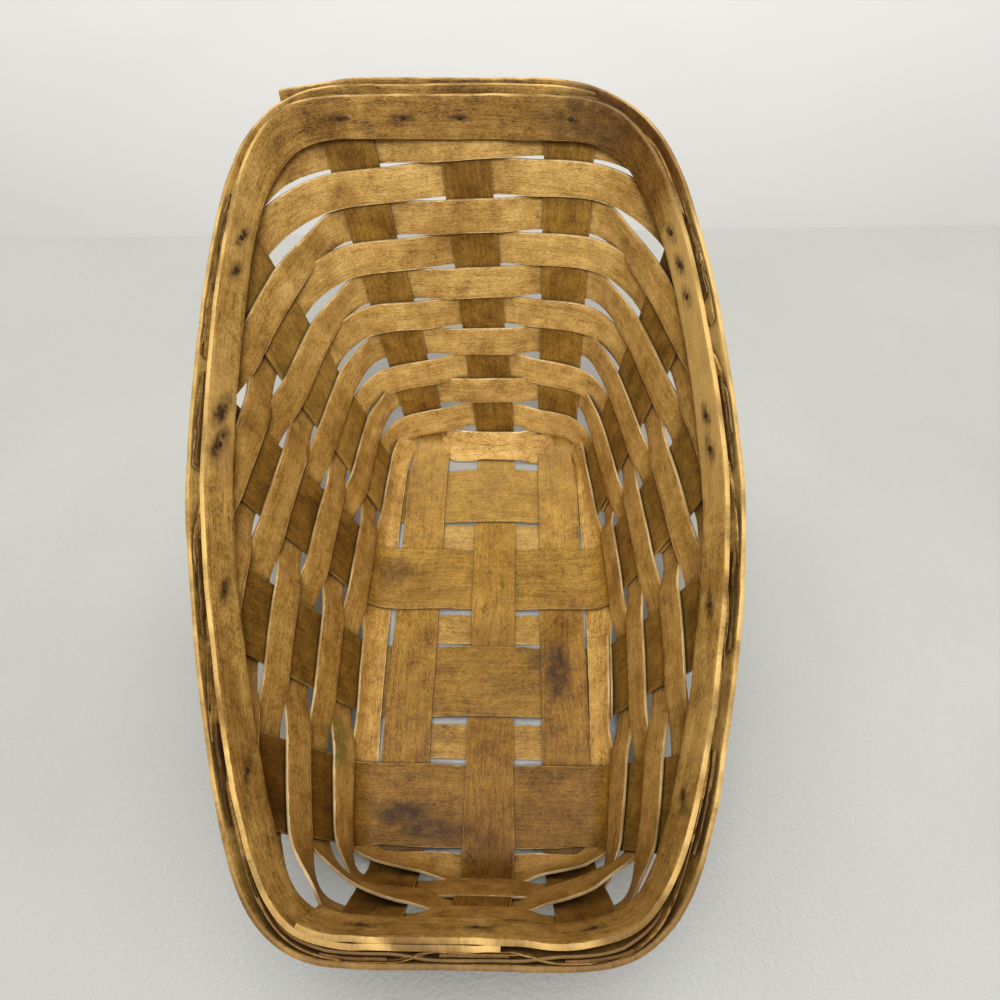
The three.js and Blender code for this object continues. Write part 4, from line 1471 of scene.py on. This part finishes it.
class BASKET_OT_rim_bands(PieceOperator, bpy.types.Operator):
    """Bend the inner and the outer rim band round the top."""

    bl_idname = "basket.rim_bands"
    bl_label = "Rim bands"

    def execute(self, context):
        sizes = context.scene.basket_sizes
        spots = [*BAND_DARK_PATCHES, *(tack_halo(tack) for tack in tack_spots())]
        inner = band_strip("rim_band_inner_wood", 81, INNER_START, INNER_END, inner_layer,
                           lambda angle: 0.0, 0)
        outer = band_strip("rim_band_outer_wood", 87, OUTER_START, OUTER_END, outer_layer,
                           outer_rise, BAND_TAIL)
        for strip, wear in ((inner, inner_wear_and_shade), (outer, outer_wear_and_shade)):
            obj = strip_mesh(strip, sizes.band_thickness, sizes.band_rounding)
            paint(obj, band_tone_and_shade, spots, wear)
            hand_over(obj, wood("band"), "band_wood", strip.name.removesuffix("_wood"))
        return {"FINISHED"}


class Tack(NamedTuple):
    """A tack through the bands: its place on the skin, its way in, its head's seat and its tip."""

    place: Vector
    inward: Vector
    seat: float
    tip: float


def tack_spots():
    found = []
    for angle in TACK_ANGLES:
        station = Station(angle)
        up = station.top - TACK_DROP
        # Where a band laps over itself, the head or the tip lies beyond its second layer
        on_inner = angle + TURN if angle < INNER_START else angle
        on_outer = angle if angle + TURN > OUTER_END else angle + TURN
        seat = inner_layer(on_inner) + BAND_THICKNESS / 2
        tip = outer_layer(on_outer) - BAND_THICKNESS / 2
        found.append(Tack(station.here.point(up), station.normal(up), seat, tip))
    return found


def tack_piece(tack, name, radius):
    """A flattened ball for the head, joined to a round shank."""
    turn = Vector((0, 0, 1)).rotation_difference(tack.inward).to_matrix().to_4x4()

    def spot(depth):
        return Matrix.Translation((tack.place + tack.inward * depth + SHIFT) * MM) @ turn

    deselect()
    bpy.ops.mesh.primitive_uv_sphere_add(segments=20, ring_count=12, radius=radius)
    obj = bpy.context.object
    obj.name = obj.data.name = name
    flat = Matrix.Diagonal((1, TACK_HEAD_OVAL, TACK_HEAD_HEIGHT, 1))
    obj.data.transform(spot(tack.seat - TACK_HEAD_SINK) @ flat)
    deselect()
    length = tack.seat - tack.tip - TACK_POINT_INSET
    bpy.ops.mesh.primitive_cylinder_add(
        vertices=12, radius=TACK_SHANK_RADIUS * MM, depth=length * MM)
    bpy.context.object.data.transform(spot((tack.seat + tack.tip) / 2))
    obj.select_set(True)
    bpy.context.view_layer.objects.active = obj
    bpy.ops.object.join()
    bpy.ops.object.shade_smooth_by_angle(angle=math.radians(50))
    return obj


class BASKET_OT_tacks(PieceOperator, bpy.types.Operator):
    """Drive the tacks through the bands."""

    bl_idname = "basket.tacks"
    bl_label = "Tacks"

    def execute(self, context):
        radius = context.scene.basket_sizes.tack_radius
        iron = rusted_iron("rusted iron tack", "#32200F", "#4A2E18")
        for i, tack in enumerate(tack_spots()):
            node = f"tack_{i + 1:02d}"
            hand_over(tack_piece(tack, f"{node}_iron", radius), iron, "tack_iron", node)
        return {"FINISHED"}


# The stage, in metres: the table's far edge shows, and the backdrop leans away behind it
TABLE_CORNERS = ((-2.0, -2.0, 0), (2.0, -2.0, 0), (2.0, 0.2693, 0), (-2.0, 0.1783, 0))
BACKDROP_CORNERS = ((-3.0, 0.34, -1.5), (3.0, 0.34, -1.5), (3.0, 0.9, 3.0), (-3.0, 0.9, 3.0))
# Each lamp: its place, what it is aimed at, its width in metres and its power in watts
LAMPS = {
    "key": ((0.03, -0.74, 1.14), (0, 0, 0.05), 0.42, 17.5),
    "ceiling": ((0.05, 0.2, 1.6), (0, 0.1, 0), 1.0, 2),
    "wall wash": ((0, 0.0, 1.2), (0, 0.6, 0.1), 0.6, 8),
}
ROOM_LIGHT = 0.25
# The camera as it was fitted to the photograph, in metres, degrees and millimetres
CAMERA_PLACE = (0.0140758, -0.117524, 0.25638)
CAMERA_YAW, CAMERA_PITCH, CAMERA_ROLL = -1.8, 56.53, 1.08
CAMERA_LENS, CAMERA_SENSOR = 27.036, 36


def stage_sheet(name, corners, material):
    """A plane with its corners moved to their places."""
    deselect()
    bpy.ops.mesh.primitive_plane_add(size=1)
    sheet = bpy.context.object
    sheet.name = name
    order = sorted(sheet.data.vertices, key=lambda v: math.atan2(v.co.y, v.co.x))
    for vertex, corner in zip(order, corners):
        vertex.co = corner
    sheet.data.materials.append(material)


def hang_lamp(scene, name, place, target, size, power):
    """A square area lamp that is aimed at its target."""
    data = bpy.data.lights.new(name, "AREA")
    data.size = size
    data.energy = power
    lamp = bpy.data.objects.new(name, data)
    scene.collection.objects.link(lamp)
    lamp.location = place
    aim = Vector(target) - Vector(place)
    lamp.rotation_euler = aim.to_track_quat("-Z", "Y").to_euler()


def set_camera(scene):
    """The camera looks ahead and down by its yaw and pitch, and is then rolled."""
    data = bpy.data.cameras.new("camera")
    data.sensor_width = CAMERA_SENSOR
    data.lens = CAMERA_LENS
    data.clip_start = 0.01
    camera = bpy.data.objects.new("camera", data)
    scene.collection.objects.link(camera)
    yaw, pitch, roll = (math.radians(a) for a in (CAMERA_YAW, CAMERA_PITCH, CAMERA_ROLL))
    level = Vector((math.cos(yaw), -math.sin(yaw), 0))
    forward = Vector((math.sin(yaw), math.cos(yaw), 0))
    ahead = forward * math.cos(pitch) - Vector((0, 0, math.sin(pitch)))
    down = ahead.cross(level)
    right = level * math.cos(roll) + down * math.sin(roll)
    below = down * math.cos(roll) - level * math.sin(roll)
    turned = Matrix((right, -below, -ahead)).transposed().to_4x4()
    camera.matrix_world = Matrix.Translation(CAMERA_PLACE) @ turned
    scene.camera = camera


class BASKET_OT_stage(PieceOperator, bpy.types.Operator):
    """Set the table, the backdrop, the lamps and the camera."""

    bl_idname = "basket.stage"
    bl_label = "Stage"

    def execute(self, context):
        scene = context.scene
        colours = scene.basket_colours
        stage_sheet("table", TABLE_CORNERS, grey_laminate("grey laminate table", colours.table))
        stage_sheet("backdrop", BACKDROP_CORNERS, hung_cotton("white cotton", colours.wall))

        scene.world = bpy.data.worlds.new("room")
        scene.world.use_nodes = True
        background = scene.world.node_tree.nodes["Background"]
        background.inputs["Color"].default_value = (1, 1, 1, 1)
        background.inputs["Strength"].default_value = ROOM_LIGHT

        for name, values in LAMPS.items():
            hang_lamp(scene, name, *values)
        set_camera(scene)
        scene.view_settings.view_transform = "Standard"
        return {"FINISHED"}


class BASKET_PT_sidebar(bpy.types.Panel):
    """Lists the basket's sizes, its colours and its building steps."""

    bl_label = "Woven Splint Basket"
    bl_idname = "BASKET_PT_sidebar"
    bl_space_type = "VIEW_3D"
    bl_region_type = "UI"
    bl_category = "Basket"

    def draw(self, context):
        layout = self.layout
        for group in (context.scene.basket_sizes, context.scene.basket_colours):
            for key in group.__annotations__:
                layout.prop(group, key)
        for step in STEPS:
            layout.operator(step.bl_idname)


STEPS = (
    BASKET_OT_end_splints,
    BASKET_OT_side_splints,
    BASKET_OT_floor_fillers,
    BASKET_OT_weaver_rows,
    BASKET_OT_rim_bands,
    BASKET_OT_tacks,
    BASKET_OT_stage,
)
CLASSES = (BasketSizes, BasketColours, *STEPS, BASKET_PT_sidebar)


def register():
    for cls in CLASSES:
        bpy.utils.register_class(cls)
    bpy.types.Scene.basket_sizes = bpy.props.PointerProperty(type=BasketSizes)
    bpy.types.Scene.basket_colours = bpy.props.PointerProperty(type=BasketColours)


def unregister():
    del bpy.types.Scene.basket_colours
    del bpy.types.Scene.basket_sizes
    for cls in reversed(CLASSES):
        bpy.utils.unregister_class(cls)


def main():
    register()
    bpy.ops.basket.end_splints()
    bpy.ops.basket.side_splints()
    bpy.ops.basket.floor_fillers()
    bpy.ops.basket.weaver_rows()
    bpy.ops.basket.rim_bands()
    bpy.ops.basket.tacks()
    bpy.ops.basket.stage()


if __name__ == "__main__":
    main()
